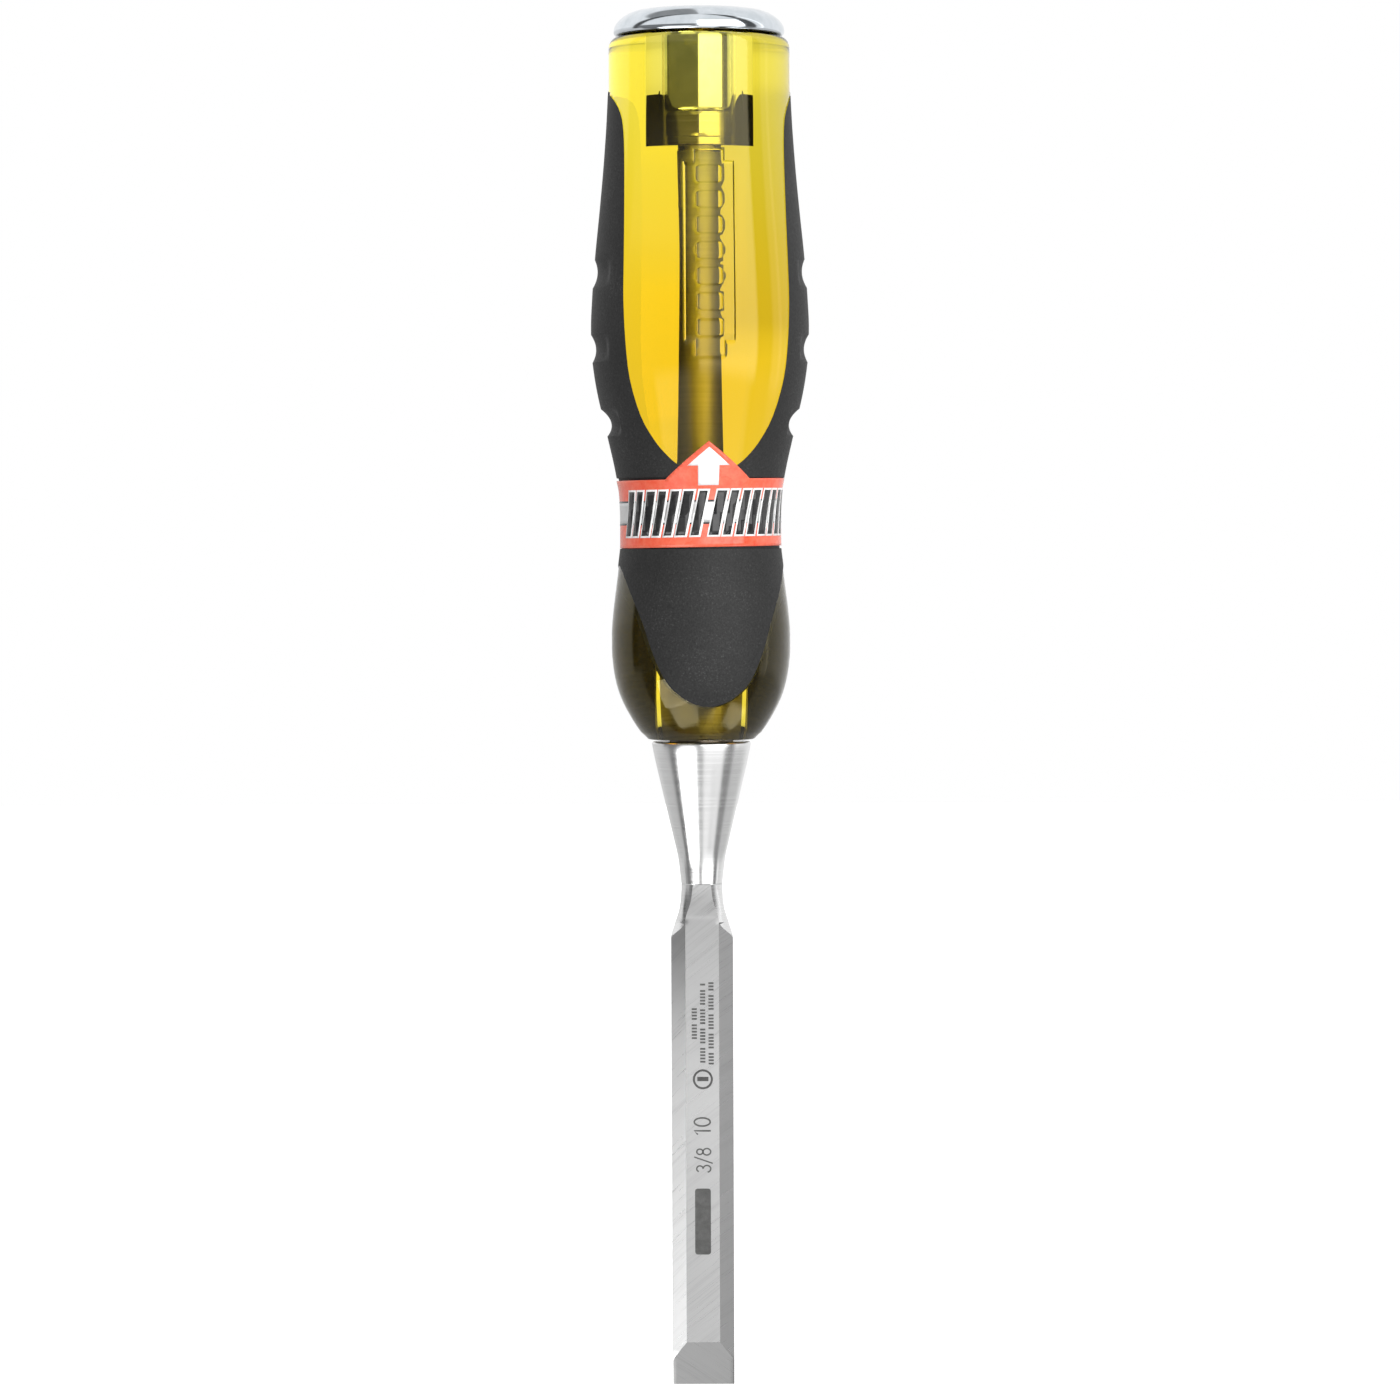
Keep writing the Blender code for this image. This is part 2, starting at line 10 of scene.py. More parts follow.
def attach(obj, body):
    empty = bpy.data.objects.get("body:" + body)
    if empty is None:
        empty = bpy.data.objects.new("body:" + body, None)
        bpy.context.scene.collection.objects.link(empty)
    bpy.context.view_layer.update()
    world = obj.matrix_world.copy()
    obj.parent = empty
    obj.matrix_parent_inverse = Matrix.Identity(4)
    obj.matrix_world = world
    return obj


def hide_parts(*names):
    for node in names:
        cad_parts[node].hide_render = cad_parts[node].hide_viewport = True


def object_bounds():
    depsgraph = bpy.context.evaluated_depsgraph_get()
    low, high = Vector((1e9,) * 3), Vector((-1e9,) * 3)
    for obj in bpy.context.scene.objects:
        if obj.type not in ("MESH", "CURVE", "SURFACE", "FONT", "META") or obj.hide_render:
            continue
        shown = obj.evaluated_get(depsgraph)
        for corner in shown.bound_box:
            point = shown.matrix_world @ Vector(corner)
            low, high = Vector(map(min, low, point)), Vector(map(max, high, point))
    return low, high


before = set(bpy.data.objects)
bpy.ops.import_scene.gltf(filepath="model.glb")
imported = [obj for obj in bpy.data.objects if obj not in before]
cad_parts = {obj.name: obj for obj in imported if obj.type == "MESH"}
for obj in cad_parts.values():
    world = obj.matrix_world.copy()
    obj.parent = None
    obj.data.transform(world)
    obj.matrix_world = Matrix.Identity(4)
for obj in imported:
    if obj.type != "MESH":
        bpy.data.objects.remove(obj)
CAD_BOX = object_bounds()

MM = 0.001
TURN = math.radians(5.3)  # the handle's turn on the blade
SEGMENTS = 144
BODY = "root"

# Shapes in millimetres. They follow the CAD in finer steps, with small differences, mostly at the neck.
HALF_WIDTH, BACK_Y, FLAT_HALF, BEVEL_DROP = 5.0, 2.2, 2.7, 1.38
TIP_Y, SHOULDER_Y, LAND, BEVEL_Z = -1.16, -1.9, 0.08, 7.25
RUN_OUT, RUN_OUT_Y, BACK_RUN_OUT = (76.2, 81.4), -2.98, (74.4, 80.9)
NECK_HALF_DEPTH = 3.31
SHOULDER = [
    (72.9, 5.0), (73.9, 4.72), (74.5, 4.5), (75.2, 4.3), (76.1, 4.0), (77.3, 3.66),
    (78.9, 3.42), (80.5, 3.31),
]
# How far the ground faces reach sideways at the neck, and the two points that shape the side behind them
GROUND_REACH = [
    (72.9, 4.96), (75.1, 2.85), (75.9, 2.68), (76.6, 2.48), (77.55, 2.16), (78.7, 1.8), (81.4, 1.44),
]
SIDE_CORNER_Y = [
    (72.9, -0.3), (73.6, -0.05), (75.1, -0.25), (76.2, -0.6), (77.5, -0.82), (78.7, -1.0), (81.4, -1.6),
]
SIDE_FOOT_Y = [(72.9, 0.8), (75.1, 0.8), (77.5, 0.0), (81.4, 0.0)]
BOLSTER = [
    (80.5, 3.2), (82.3, 3.4), (85.5, 3.78), (88.7, 4.49), (91.9, 5.24), (95.2, 6.01),
    (98.4, 6.76), (101.6, 7.5), (104.0, 7.98),
]
BOSS_RADIUS, SOCKET_RADIUS = 5.1, 5.06
# The groove on each side of the boss
GROOVE_ANGLE, GROOVE_HALF_ANGLE, GROOVE_DEPTH = math.radians(81), math.radians(8), 0.3
TANG = [
    (118.5, 3.0), (130.0, 2.82), (149.0, 2.56), (166.0, 2.33), (182.0, 2.2), (190.0, 2.28), (198.6, 2.42),
    (200.5, 2.15), (206.6, 2.15),
]
HANDLE = [
    (104.8, 8.55), (105.2, 8.95), (106.1, 9.95), (107.4, 10.88), (108.7, 11.65), (110.0, 12.36),
    (111.5, 13.06), (113.8, 13.8), (116.4, 14.28), (119.4, 14.52), (121.8, 14.52), (125.4, 14.25),
    (129.3, 13.76), (133.1, 13.3), (136.3, 12.98), (140.8, 12.94), (144.2, 13.1), (147.1, 13.56),
    (149.8, 14.1), (153.0, 14.84), (156.3, 15.6), (160.1, 16.48), (163.0, 17.0), (166.2, 17.38),
    (171.1, 17.56), (175.7, 17.36), (182.2, 16.87), (190.0, 16.08), (197.8, 15.37), (205.5, 14.85),
    (210.0, 14.68), (215.8, 14.68), (216.9, 14.38), (217.6, 13.75),
]
SINK = 0.12  # how far the bare amber lies inside the handle's outline
RIM_Z, RIM_RADIUS, RIM_RISE, RIM_FALL = 215.8, 14.56, 1.8, 1.25  # the amber's rounded upper edge
SLEEVE_Z = (108.2, 211.0)
# The amber's recess is shallower than the sleeve, and its clearances are below zero. So the pieces overlap
# slightly, and no air shows between them.
SLEEVE_DEPTH, RECESS_DEPTH = 1.75, 1.7
RECESS_CLEARANCE, BORE_CLEARANCE = -0.03, -0.04
NOTCHES = [(155.8, 4.4, 1.15), (167.7, 4.5, 0.72), (179.7, 4.6, 0.62)]  # middle, length and depth
NOTCH_HALF_ANGLE = math.radians(28)
# Right halves of the outlines of the window and the tongue, seen from the front
WINDOW = [
    (15.3, 209.0), (14.6, 208.2), (14.0, 207.0), (13.4, 205.5), (12.95, 203.2), (12.8, 198.6), (12.95, 188.6),
    (13.15, 180.6), (13.25, 175.1), (13.0, 168.6), (12.3, 162.5), (10.6, 156.7), (8.6, 153.0), (6.8, 150.7),
    (4.95, 149.0), (2.6, 147.7), (0.0, 147.2),
]
TONGUE = [
    (14.2, 134.5), (13.2, 132.7), (12.55, 130.4), (11.85, 128.1), (10.3, 123.7), (8.8, 118.8), (6.8, 114.4),
    (4.6, 112.1), (2.4, 110.8), (0.0, 110.3),
]
LABEL_Z = (135.8, 146.6)
LABEL_BED = 0.3  # depth of the groove in the rubber under the label
WAIST_RADIUS = 13.2
PEAK_RISE, PEAK_HALF_ANGLE = 6.0, math.radians(30)
LABEL_SKEW = 0.19  # how far the band rises at the right and drops at the left
BARS = [
    (1.5, 0.75), (1.3, 0.9), (1.6, 0.75), (1.3, 0.9), (1.3, 0.75), (1.6, 0.9), (1.3, 1.6),
    (1.6, 0.75), (1.3, 0.9), (1.3, 0.75), (1.5, 0.9), (1.6, 0.75), (1.3, 0.9), (1.5, 0.75), (1.5, 0.75),
]  # width and following gap of the slanted bars on the label
# The back window's share of the front one's width, and the height of the rubber's upper edge beside it
BACK_SHARE, BACK_TOP = 0.55, 208.3


# Materials

PAINTED_LIGHT_TOP = 85.0  # height in mm at which the painted light along the blade ends


class Nodes:
    """A short way to lay nodes down: each call makes one, sets its fields and links or sets its inputs.

    An input goes by its name, or by i and its number.
    """

    def __init__(self, tree):
        self.tree = tree

    def __call__(self, kind, fields=None, **inputs):
        made = self.tree.nodes.new(kind)
        for name, value in (fields or {}).items():
            setattr(made, name, value)
        for name, value in inputs.items():
            numbered = name[0] == "i" and name[1:].isdigit()
            socket = made.inputs[int(name[1:]) if numbered else name.replace("_", " ")]
            if isinstance(value, bpy.types.NodeSocket):
                self.tree.links.new(value, socket)
            else:
                socket.default_value = value
        return made

    def ramp(self, factor, stops):
        """Greys or colours between (position, value) stops."""
        made = self("ShaderNodeValToRGB", i0=factor)
        elements = made.color_ramp.elements
        while len(elements) > 1:
            elements.remove(elements[-1])
        elements[0].position, elements[0].color = stops[0][0], grey(stops[0][1])
        for position, value in stops[1:]:
            elements.new(position).color = grey(value)
        return made.outputs["Color"]


def grey(value):
    return (*value, 1.0) if isinstance(value, tuple) else (value, value, value, 1.0)


def new_material(name):
    made = bpy.data.materials.new(name)
    made.use_nodes = True
    n = Nodes(made.node_tree)
    return made, n, made.node_tree.nodes["Principled BSDF"]


def link(n, source, bsdf, socket):
    n.tree.links.new(source, bsdf.inputs[socket])


def add_bump(n, bsdf, strength, distance, height):
    bump = n("ShaderNodeBump", Strength=strength, Distance=distance, Height=height)
    link(n, bump.outputs["Normal"], bsdf, "Normal")


def weighed(n, value, weight, other):
    """value * weight + other"""
    return n("ShaderNodeMath", {"operation": "MULTIPLY_ADD"}, i0=value, i1=weight, i2=other).outputs[0]


def stretched(n, turn, scale, detail, rough):
    """Noise drawn out into lines: object coordinates turned about Y, then scaled by a vector per metre."""
    where = n("ShaderNodeTexCoord").outputs["Object"]
    turned = n("ShaderNodeMapping", Vector=where, Rotation=(0.0, turn, 0.0)).outputs["Vector"]
    sized = n("ShaderNodeMapping", Vector=turned, Scale=scale).outputs["Vector"]
    return n("ShaderNodeTexNoise", Vector=sized, Scale=1.0, Detail=detail, Roughness=rough).outputs["Fac"]


def ground_steel(name, turn, fine, grey_and_painted_light, depth=0.000008, contrast=0.32):
    """Steel with grinding lines, its grey set by (height in mm, grey) pairs along the blade: one pair gives a
    plain grey, and several give painted light and painted shade up the blade.
    """
    made, n, bsdf = new_material(name)
    where = n("ShaderNodeTexCoord").outputs["Object"]
    lines = stretched(n, turn, (90.0, 90.0, fine), 4.0, 0.65)
    broad = stretched(n, turn, (20.0, 20.0, fine * 0.16), 3.0, 0.5)
    cloud = n("ShaderNodeTexNoise", Vector=where, Scale=90.0, Detail=3.0).outputs["Fac"]
    mixed = weighed(n, broad, 0.7, lines)
    streak = n.ramp(weighed(n, cloud, 0.3, mixed), [(0.72, 1.0 - 0.5 * contrast), (1.0, 1.0)])
    height = n("ShaderNodeSeparateXYZ", i0=where).outputs["Z"]
    share = n("ShaderNodeMapRange", i0=height, i1=0.0, i2=PAINTED_LIGHT_TOP * MM).outputs[0]
    # painted light: with several stops, the steel's grey turns brighter and darker up the blade where
    # reflections and shade fall
    along = n.ramp(share, [(z / PAINTED_LIGHT_TOP, value) for z, value in grey_and_painted_light])
    multiply = {"data_type": "RGBA", "blend_type": "MULTIPLY"}
    tone = n("ShaderNodeMix", multiply, i0=1.0, i6=along, i7=streak).outputs[2]
    link(n, tone, bsdf, "Base Color")
    link(n, n.ramp(lines, [(0.3, 0.26), (0.7, 0.36)]), bsdf, "Roughness")
    add_bump(n, bsdf, 0.55, depth, mixed)
    bsdf.inputs["Metallic"].default_value = 1.0
    return made


def turned_steel(name, dark, light, rough=(0.14, 0.26), fine=4200.0):
    """Steel with fine rings from turning. dark and light are greys or colours."""
    made, n, bsdf = new_material(name)
    where = n("ShaderNodeTexCoord").outputs["Object"]
    lines = stretched(n, 0.0, (25.0, 25.0, fine), 3.0, 0.6)
    cloud = n("ShaderNodeTexNoise", Vector=where, Scale=160.0, Detail=4.0).outputs["Fac"]
    link(n, n.ramp(lines, [(0.3, dark), (0.7, light)]), bsdf, "Base Color")
    mixed = weighed(n, cloud, 0.6, lines)
    link(n, n.ramp(mixed, [(0.55, rough[0]), (0.95, rough[1])]), bsdf, "Roughness")
    add_bump(n, bsdf, 0.4, 0.000006, lines)
    bsdf.inputs["Metallic"].default_value = 1.0
    return made


def chrome(name):
    made, n, bsdf = new_material(name)
    where = n("ShaderNodeTexCoord").outputs["Object"]
    haze = n("ShaderNodeTexNoise", Vector=where, Scale=420.0, Detail=5.0, Roughness=0.6).outputs["Fac"]
    wave = n("ShaderNodeTexNoise", Vector=where, Scale=90.0, Detail=2.0).outputs["Fac"]
    link(n, n.ramp(haze, [(0.35, (0.62, 0.67, 0.71)), (0.7, (0.74, 0.78, 0.82))]), bsdf, "Base Color")
    link(n, n.ramp(haze, [(0.3, 0.05), (0.75, 0.13)]), bsdf, "Roughness")
    add_bump(n, bsdf, 0.25, 0.00012, wave)
    bsdf.inputs["Metallic"].default_value = 1.0
    return made


def amber(name):
    made, n, bsdf = new_material(name)
    where = n("ShaderNodeTexCoord").outputs["Object"]
    flow = n("ShaderNodeTexNoise", Vector=where, Scale=45.0, Detail=2.0).outputs["Fac"]
    height = n("ShaderNodeSeparateXYZ", i0=where).outputs["Z"]
    bottom, top = 0.104, 0.217
    share = n("ShaderNodeMapRange", i0=height, i1=bottom, i2=top).outputs[0]
    # Painted light: the amber's colour changes with height, pale at the foot, deeper orange round the middle,
    # and paler up to white at the top, where more light comes through
    painted_light_tints = [
        (0.0, (1.0, 0.93, 0.5)), (0.38, (0.94, 0.72, 0.42)), (0.5, (0.95, 0.74, 0.44)),
        (0.63, (1.0, 0.81, 0.45)), (0.85, (1.0, 0.93, 0.7)), (1.0, (1.0, 1.0, 1.0)),
    ]
    link(n, n.ramp(share, painted_light_tints), bsdf, "Base Color")
    bsdf.inputs["Transmission Weight"].default_value = 1.0
    bsdf.inputs["IOR"].default_value = 1.48
    bsdf.inputs["Specular Tint"].default_value = (1.0, 0.9, 0.55, 1.0)
    link(n, n.ramp(flow, [(0.3, 0.004), (0.8, 0.02)]), bsdf, "Roughness")
    add_bump(n, bsdf, 0.12, 0.0002, flow)
    inside = n("ShaderNodeVolumeAbsorption")
    inside.inputs["Color"].default_value = (0.985, 0.925, 0.0, 1.0)
    inside.inputs["Density"].default_value = 105.0
    n.tree.links.new(inside.outputs["Volume"], n.tree.nodes["Material Output"].inputs["Volume"])
    return made


def rubber(name):
    made, n, bsdf = new_material(name)
    where = n("ShaderNodeTexCoord").outputs["Object"]
    grain = n("ShaderNodeTexNoise", Vector=where, Scale=3600.0, Detail=3.0, Roughness=0.7).outputs["Fac"]
    speck = n("ShaderNodeTexNoise", Vector=where, Scale=3000.0, Detail=2.0, Roughness=0.8).outputs["Fac"]
    cloud = n("ShaderNodeTexNoise", Vector=where, Scale=110.0, Detail=4.0).outputs["Fac"]
    tone = weighed(n, cloud, 0.35, speck)
    link(n, n.ramp(tone, [(0.5, 0.014), (0.8, 0.024), (0.95, 0.055)]), bsdf, "Base Color")
    link(n, n.ramp(grain, [(0.3, 0.5), (0.7, 0.72)]), bsdf, "Roughness")
    bsdf.inputs["Specular IOR Level"].default_value = 0.28
    add_bump(n, bsdf, 0.5, 0.00005, grain)
    return made


def print_film(name, color, worn, rough=0.2, metallic=0.0):
    made, n, bsdf = new_material(name)
    where = n("ShaderNodeTexCoord").outputs["Object"]
    fibre = n("ShaderNodeTexNoise", Vector=where, Scale=900.0, Detail=4.0, Roughness=0.7).outputs["Fac"]
    wear = n("ShaderNodeTexNoise", Vector=where, Scale=130.0, Detail=3.0).outputs["Fac"]
    link(n, n.ramp(weighed(n, wear, 0.6, fibre), [(0.55, color), (1.0, worn)]), bsdf, "Base Color")
    link(n, n.ramp(wear, [(0.3, rough - 0.08), (0.7, rough + 0.1)]), bsdf, "Roughness")
    add_bump(n, bsdf, 0.2, 0.00002, fibre)
    bsdf.inputs["Metallic"].default_value = metallic
    return made


# Shapes


def between(table, z):
    """Smooth value of a (z, value) table, by cubic pieces that keep the slope of the neighbouring points."""
    if z <= table[0][0]:
        return table[0][1]
    if z >= table[-1][0]:
        return table[-1][1]
    index = max(i for i in range(len(table) - 1) if table[i][0] <= z)

    def slope(i):
        if i in (0, len(table) - 1):
            j = min(i, len(table) - 2)
            return (table[j + 1][1] - table[j][1]) / (table[j + 1][0] - table[j][0])
        before = (table[i][1] - table[i - 1][1]) / (table[i][0] - table[i - 1][0])
        after = (table[i + 1][1] - table[i][1]) / (table[i + 1][0] - table[i][0])
        return 0.0 if before * after <= 0 else 2 * before * after / (before + after)

    (z0, v0), (z1, v1) = table[index], table[index + 1]
    span = z1 - z0
    t = (z - z0) / span
    return (
        v0 * (1 + 2 * t) * (1 - t) ** 2 + v1 * t * t * (3 - 2 * t)
        + slope(index) * span * t * (1 - t) ** 2 - slope(index + 1) * span * t * t * (1 - t)
    )


def steps(low, high, size):
    """Even steps from low to high, none longer than size."""
    count = max(1, math.ceil((high - low) / size))
    return [low + (high - low) * i / count for i in range(count + 1)]


def solid(name, points, faces, materials, sharp=35.0, turn=0.0, slots=None):
    """An object from points in mm, turned about Z. Edges that bend by more than sharp degrees stay hard."""
    c, s = math.cos(turn), math.sin(turn)
    mesh = bpy.data.meshes.new(name)
    mesh.from_pydata([((x * c - y * s) * MM, (x * s + y * c) * MM, z * MM) for x, y, z in points], [], faces)
    for material in materials:
        mesh.materials.append(material)
    if slots:
        mesh.polygons.foreach_set("material_index", slots)
    tidy = bmesh.new()
    tidy.from_mesh(mesh)
    bmesh.ops.recalc_face_normals(tidy, faces=tidy.faces)
    tidy.to_mesh(mesh)
    tidy.free()
    mesh.shade_smooth()
    mesh.set_sharp_from_angle(angle=math.radians(sharp))
    obj = bpy.data.objects.new(name, mesh)
    bpy.context.scene.collection.objects.link(obj)
    return obj


def lathe(profile, segments=SEGMENTS, carve=None):
    """Turns a closed loop of (radius, height) points about Z. carve(radius, height, angle) is taken off."""
    count = len(profile)
    points, faces = [], []
    for k in range(segments):
        angle = 2 * math.pi * k / segments
        for radius, z in profile:
            r = radius - (carve(radius, z, angle) if carve else 0.0)
            points.append((r * math.cos(angle), r * math.sin(angle), z))
    for k in range(segments):
        a, b = k * count, (k + 1) % segments * count
        faces += [(a + i, b + i, b + (i + 1) % count, a + (i + 1) % count) for i in range(count)]
    return points, faces


def settle(obj):
    """Applies an object's modifiers to its mesh."""
    graph = bpy.context.evaluated_depsgraph_get()
    mesh = bpy.data.meshes.new_from_object(obj.evaluated_get(graph))
    obj.modifiers.clear()
    obj.data = mesh


def cut(obj, other, operation="DIFFERENCE"):
    """Takes the other object away from this one, or joins it on, and deletes the other."""
    modifier = obj.modifiers.new(other.name, "BOOLEAN")
    modifier.operation = operation
    modifier.object = other
    modifier.solver = "EXACT"
    settle(obj)
    bpy.data.objects.remove(other, do_unlink=True)


def piece(obj, node=None, smooth=None):
    """Hands a finished object to the frame."""
    if smooth:
        obj.data.shade_smooth()
        obj.data.set_sharp_from_angle(angle=math.radians(smooth))
    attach(obj, BODY)
    if node:
        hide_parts(node)


# Blade, neck, bolster and tang

FRONT, BEVEL, SIDE, BACK = 8, 6, 16, 10  # steps along each part of a half section
SIDE_TAIL = 5  # points of the side that lie behind its round corner, at the neck
# Places of the steels in the blade's list of materials. The two bevels hold one steel, painted lit on the
# left and painted shaded on the right.
FLAT_STEEL, LEFT_LIT_STEEL, RIGHT_SHADED_STEEL, HONED_STEEL, SIDE_STEEL, TURNED_STEEL, TANG_STEEL, BOSS_STEEL = range(8)


def front_y(z):
    """Depth of the blade's flat front face."""
    return TIP_Y + (SHOULDER_Y - TIP_Y) * z / RUN_OUT[0]


def outline_at(z, t):
    """Point of the neck's full outline, from the front (t = 0) round the right side to the back (t = 1)."""
    width = between(SHOULDER, z)
    blend = min(max((z - SHOULDER[0][0]) / (SHOULDER[-1][0] - SHOULDER[0][0]), 0.0), 1.0)
    power = 2.0 + 14.0 * (1 - blend) ** 2
    angle = math.pi * t
    return (
        width * math.sin(angle) ** (2 / power),
        -NECK_HALF_DEPTH * math.copysign(abs(math.cos(angle)) ** (2 / power), math.cos(angle)),
    )


def search(test, low, high):
    """Where a test that holds at first stops holding."""
    for _ in range(40):
        middle = (low + high) / 2
        low, high = (middle, high) if test(middle) else (low, middle)
    return high


def straight(a, b, count):
    """Points from a towards b, without b itself."""
    return [(a[0] + (b[0] - a[0]) * i / count, a[1] + (b[1] - a[1]) * i / count) for i in range(count)]


def whole(half, z):
    """A whole section from its right half, both ends of which lie on the middle line."""
    return [(x, y, z) for x, y in half] + [(-x, y, z) for x, y in half[-2:0:-1]]


def blade_section(z):
    """Section of the blade. Below the top of the cutting bevel, that bevel is its front."""
    flat, shoulder = front_y(z), front_y(z) + BEVEL_DROP
    depth = BACK_Y - LAND - z * (BACK_Y - LAND - front_y(BEVEL_Z)) / BEVEL_Z
    if depth <= flat:
        front, end = (FLAT_HALF, flat), (HALF_WIDTH, shoulder)
    elif depth < shoulder - 0.03:
        t = (depth - flat) / BEVEL_DROP
        front, end = (FLAT_HALF + t * (HALF_WIDTH - FLAT_HALF), depth), (HALF_WIDTH, shoulder)
    else:
        front, end = (HALF_WIDTH - 0.12, depth), (HALF_WIDTH, depth + 0.02)
    half = straight((0.0, front[1]), front, FRONT) + straight(front, end, BEVEL)
    half += straight(end, (HALF_WIDTH, BACK_Y), SIDE) + straight((HALF_WIDTH, BACK_Y), (0.0, BACK_Y), BACK)
    return whole(half + [(0.0, BACK_Y)], z)


def shoulder_section(z):
    """Section of the neck, where the ground faces run out and the round side takes over."""
    low, high = RUN_OUT
    t = min(max((z - low) / (high - low), 0.0), 1.0)
    flat = SHOULDER_Y + (RUN_OUT_Y - SHOULDER_Y) * (0.45 * t + 0.55 * t * t) if z > low else front_y(z)
    slope = BEVEL_DROP / (HALF_WIDTH - FLAT_HALF)
    reach, width = between(GROUND_REACH, z), between(SHOULDER, z)
    corner, foot = (width, between(SIDE_CORNER_Y, z)), (width, between(SIDE_FOOT_Y, z))
    front, end = (min(reach, FLAT_HALF), flat), (reach, flat + max(reach - FLAT_HALF, 0.0) * slope)
    half = straight((0.0, flat), front, FRONT)
    if bevelled(z):
        half += straight(front, end, BEVEL)
    count = (SIDE if bevelled(z) else SIDE + BEVEL) - SIDE_TAIL
    for i in range(count):
        t = i / count
        weights = ((1 - t) ** 2, 2 * t * (1 - t), t * t)
        half.append(tuple(sum(w * p[d] for w, p in zip(weights, (end, corner, foot))) for d in (0, 1)))
    start = search(lambda at: outline_at(z, at)[1] < foot[1], 0.3, 0.999)
    tail = search(lambda at: outline_at(z, at)[1] < BACK_Y, 0.5, 0.999)
    half += [outline_at(z, start + (tail - start) * i / SIDE_TAIL) for i in range(SIDE_TAIL)]
    swell = min(max((z - BACK_RUN_OUT[0]) / (BACK_RUN_OUT[1] - BACK_RUN_OUT[0]), 0.0), 1.0) ** 2
    for i in range(BACK + 1):
        x, y = outline_at(z, tail + (1.0 - tail) * i / BACK)
        half.append((x, BACK_Y + (y - BACK_Y) * swell))
    return whole(half, z)


def round_section(z, radius, grooved=False):
    count = 2 * (FRONT + BEVEL + SIDE + BACK)
    section = []
    for i in range(count):
        angle = 2 * math.pi * i / count
        in_groove = abs(abs(math.remainder(angle, 2 * math.pi)) - GROOVE_ANGLE) < GROOVE_HALF_ANGLE
        r = radius - (GROOVE_DEPTH if grooved and in_groove else 0.0)
        section.append((r * math.sin(angle), -r * math.cos(angle), z))
    return section


def bevelled(z):
    """Whether the side bevel still shows as its own face at this height."""
    return between(GROUND_REACH, z) > FLAT_HALF + 0.12


def make_blade(materials):
    rows = [(z, blade_section(z)) for z in [0.0, 4.2, 4.55, 5.85, BEVEL_Z] + steps(8.5, 72.7, 8.0)]
    rows += [(z, shoulder_section(z)) for z in steps(73.2, RUN_OUT[1], 0.3)]
    bolster_rows = [RUN_OUT[1] + 0.12] + steps(82.1, 103.8, 0.9)
    rows += [(z, round_section(z, between(BOLSTER, z))) for z in bolster_rows]
    rows += [(z, round_section(z, r)) for z, r in ((104.15, 7.97), (104.35, 7.86), (104.45, 7.68))]
    rows += [(z, round_section(z, BOSS_RADIUS, True)) for z in (104.5, 105.4, 110.0, 117.0)]
    rows.append((117.6, round_section(117.6, 4.5)))
    tang_rows = steps(118.5, 198.6, 4.0) + steps(199.6, 206.6, 2.0)
    rows += [(z, round_section(z, between(TANG, z))) for z in tang_rows]
    rows.append((207.3, round_section(207.3, 1.6)))
    count = len(rows[0][1])
    half = count // 2
    points = [point for _, section in rows for point in section]
    last = FRONT + BEVEL + SIDE
    right = [(i, i + 1, half - i - 1, half - i) for i in range(FRONT)]
    right += [(half - FRONT, i, i + 1) for i in range(FRONT, last)]
    left = [tuple((count - i) % count for i in face[::-1]) for face in right]
    faces, slots = right + left, [HONED_STEEL] * (2 * len(right))
    for row in range(len(rows) - 1):
        z = (rows[row][0] + rows[row + 1][0]) / 2
        a, b = row * count, (row + 1) * count
        for i in range(count):
            j = (i + 1) % count
            faces.append((a + i, a + j, b + j, b + i))
            side = min(i, count - 1 - i)
            if z < BEVEL_Z and side < FRONT:
                slots.append(HONED_STEEL)
            elif side < FRONT and z < RUN_OUT[1] + 0.05:
                slots.append(FLAT_STEEL)
            elif side < FRONT + BEVEL and bevelled(z):
                # the bevels get a lit and a shaded copy of one steel: painted highlight on the left, painted
                # shade on the right
                slots.append(LEFT_LIT_STEEL if i > half else RIGHT_SHADED_STEEL)
            elif z < 73.2 or (side >= last and z < 76.4):
                slots.append(SIDE_STEEL)
            else:
                slots.append(TURNED_STEEL if z < 104.6 else BOSS_STEEL if z < 118.0 else TANG_STEEL)
    faces.append(tuple((len(rows) - 1) * count + i for i in range(count)))
    slots.append(TANG_STEEL)
    return solid("blade_piece", points, faces, materials, sharp=14, slots=slots)


# Handle


def mirrored(half):
    """A closed outline from its right half."""
    return half + [(-x, z) for x, z in reversed(half) if x > 0]


def rounded(outline, rounds=3):
    """Outline with more points on a smooth curve through the given ones (Catmull-Rom)."""
    out = []
    for i in range(len(outline) - 1):
        p0, p1 = outline[max(i - 1, 0)], outline[i]
        p2 = outline[i + 1]
        p3 = outline[i + 2] if i + 2 < len(outline) else (-p1[0], p1[1]) if p2[0] == 0.0 else p2
        for k in range(rounds):
            t = k / rounds
            out.append(tuple(
                0.5 * (2 * p1[d] + (p2[d] - p0[d]) * t + (2 * p0[d] - 5 * p1[d] + 4 * p2[d] - p3[d]) * t * t
                       + (3 * p1[d] - p0[d] - 3 * p2[d] + p3[d]) * t ** 3)
                for d in (0, 1)
            ))
    return out + [outline[-1]]


def grown(outline, amount):
    """The outline moved outwards, or inwards if the amount is below zero."""
    moved = []
    for i, (x, z) in enumerate(outline):
        (x0, z0), (x1, z1) = outline[max(i - 1, 0)], outline[min(i + 1, len(outline) - 1)]
        dx, dz = x1 - x0, z1 - z0
        length = math.hypot(dx, dz)
        moved.append((x - dz / length * amount, z + dx / length * amount) if x > 0 else (0.0, z - amount))
    return moved


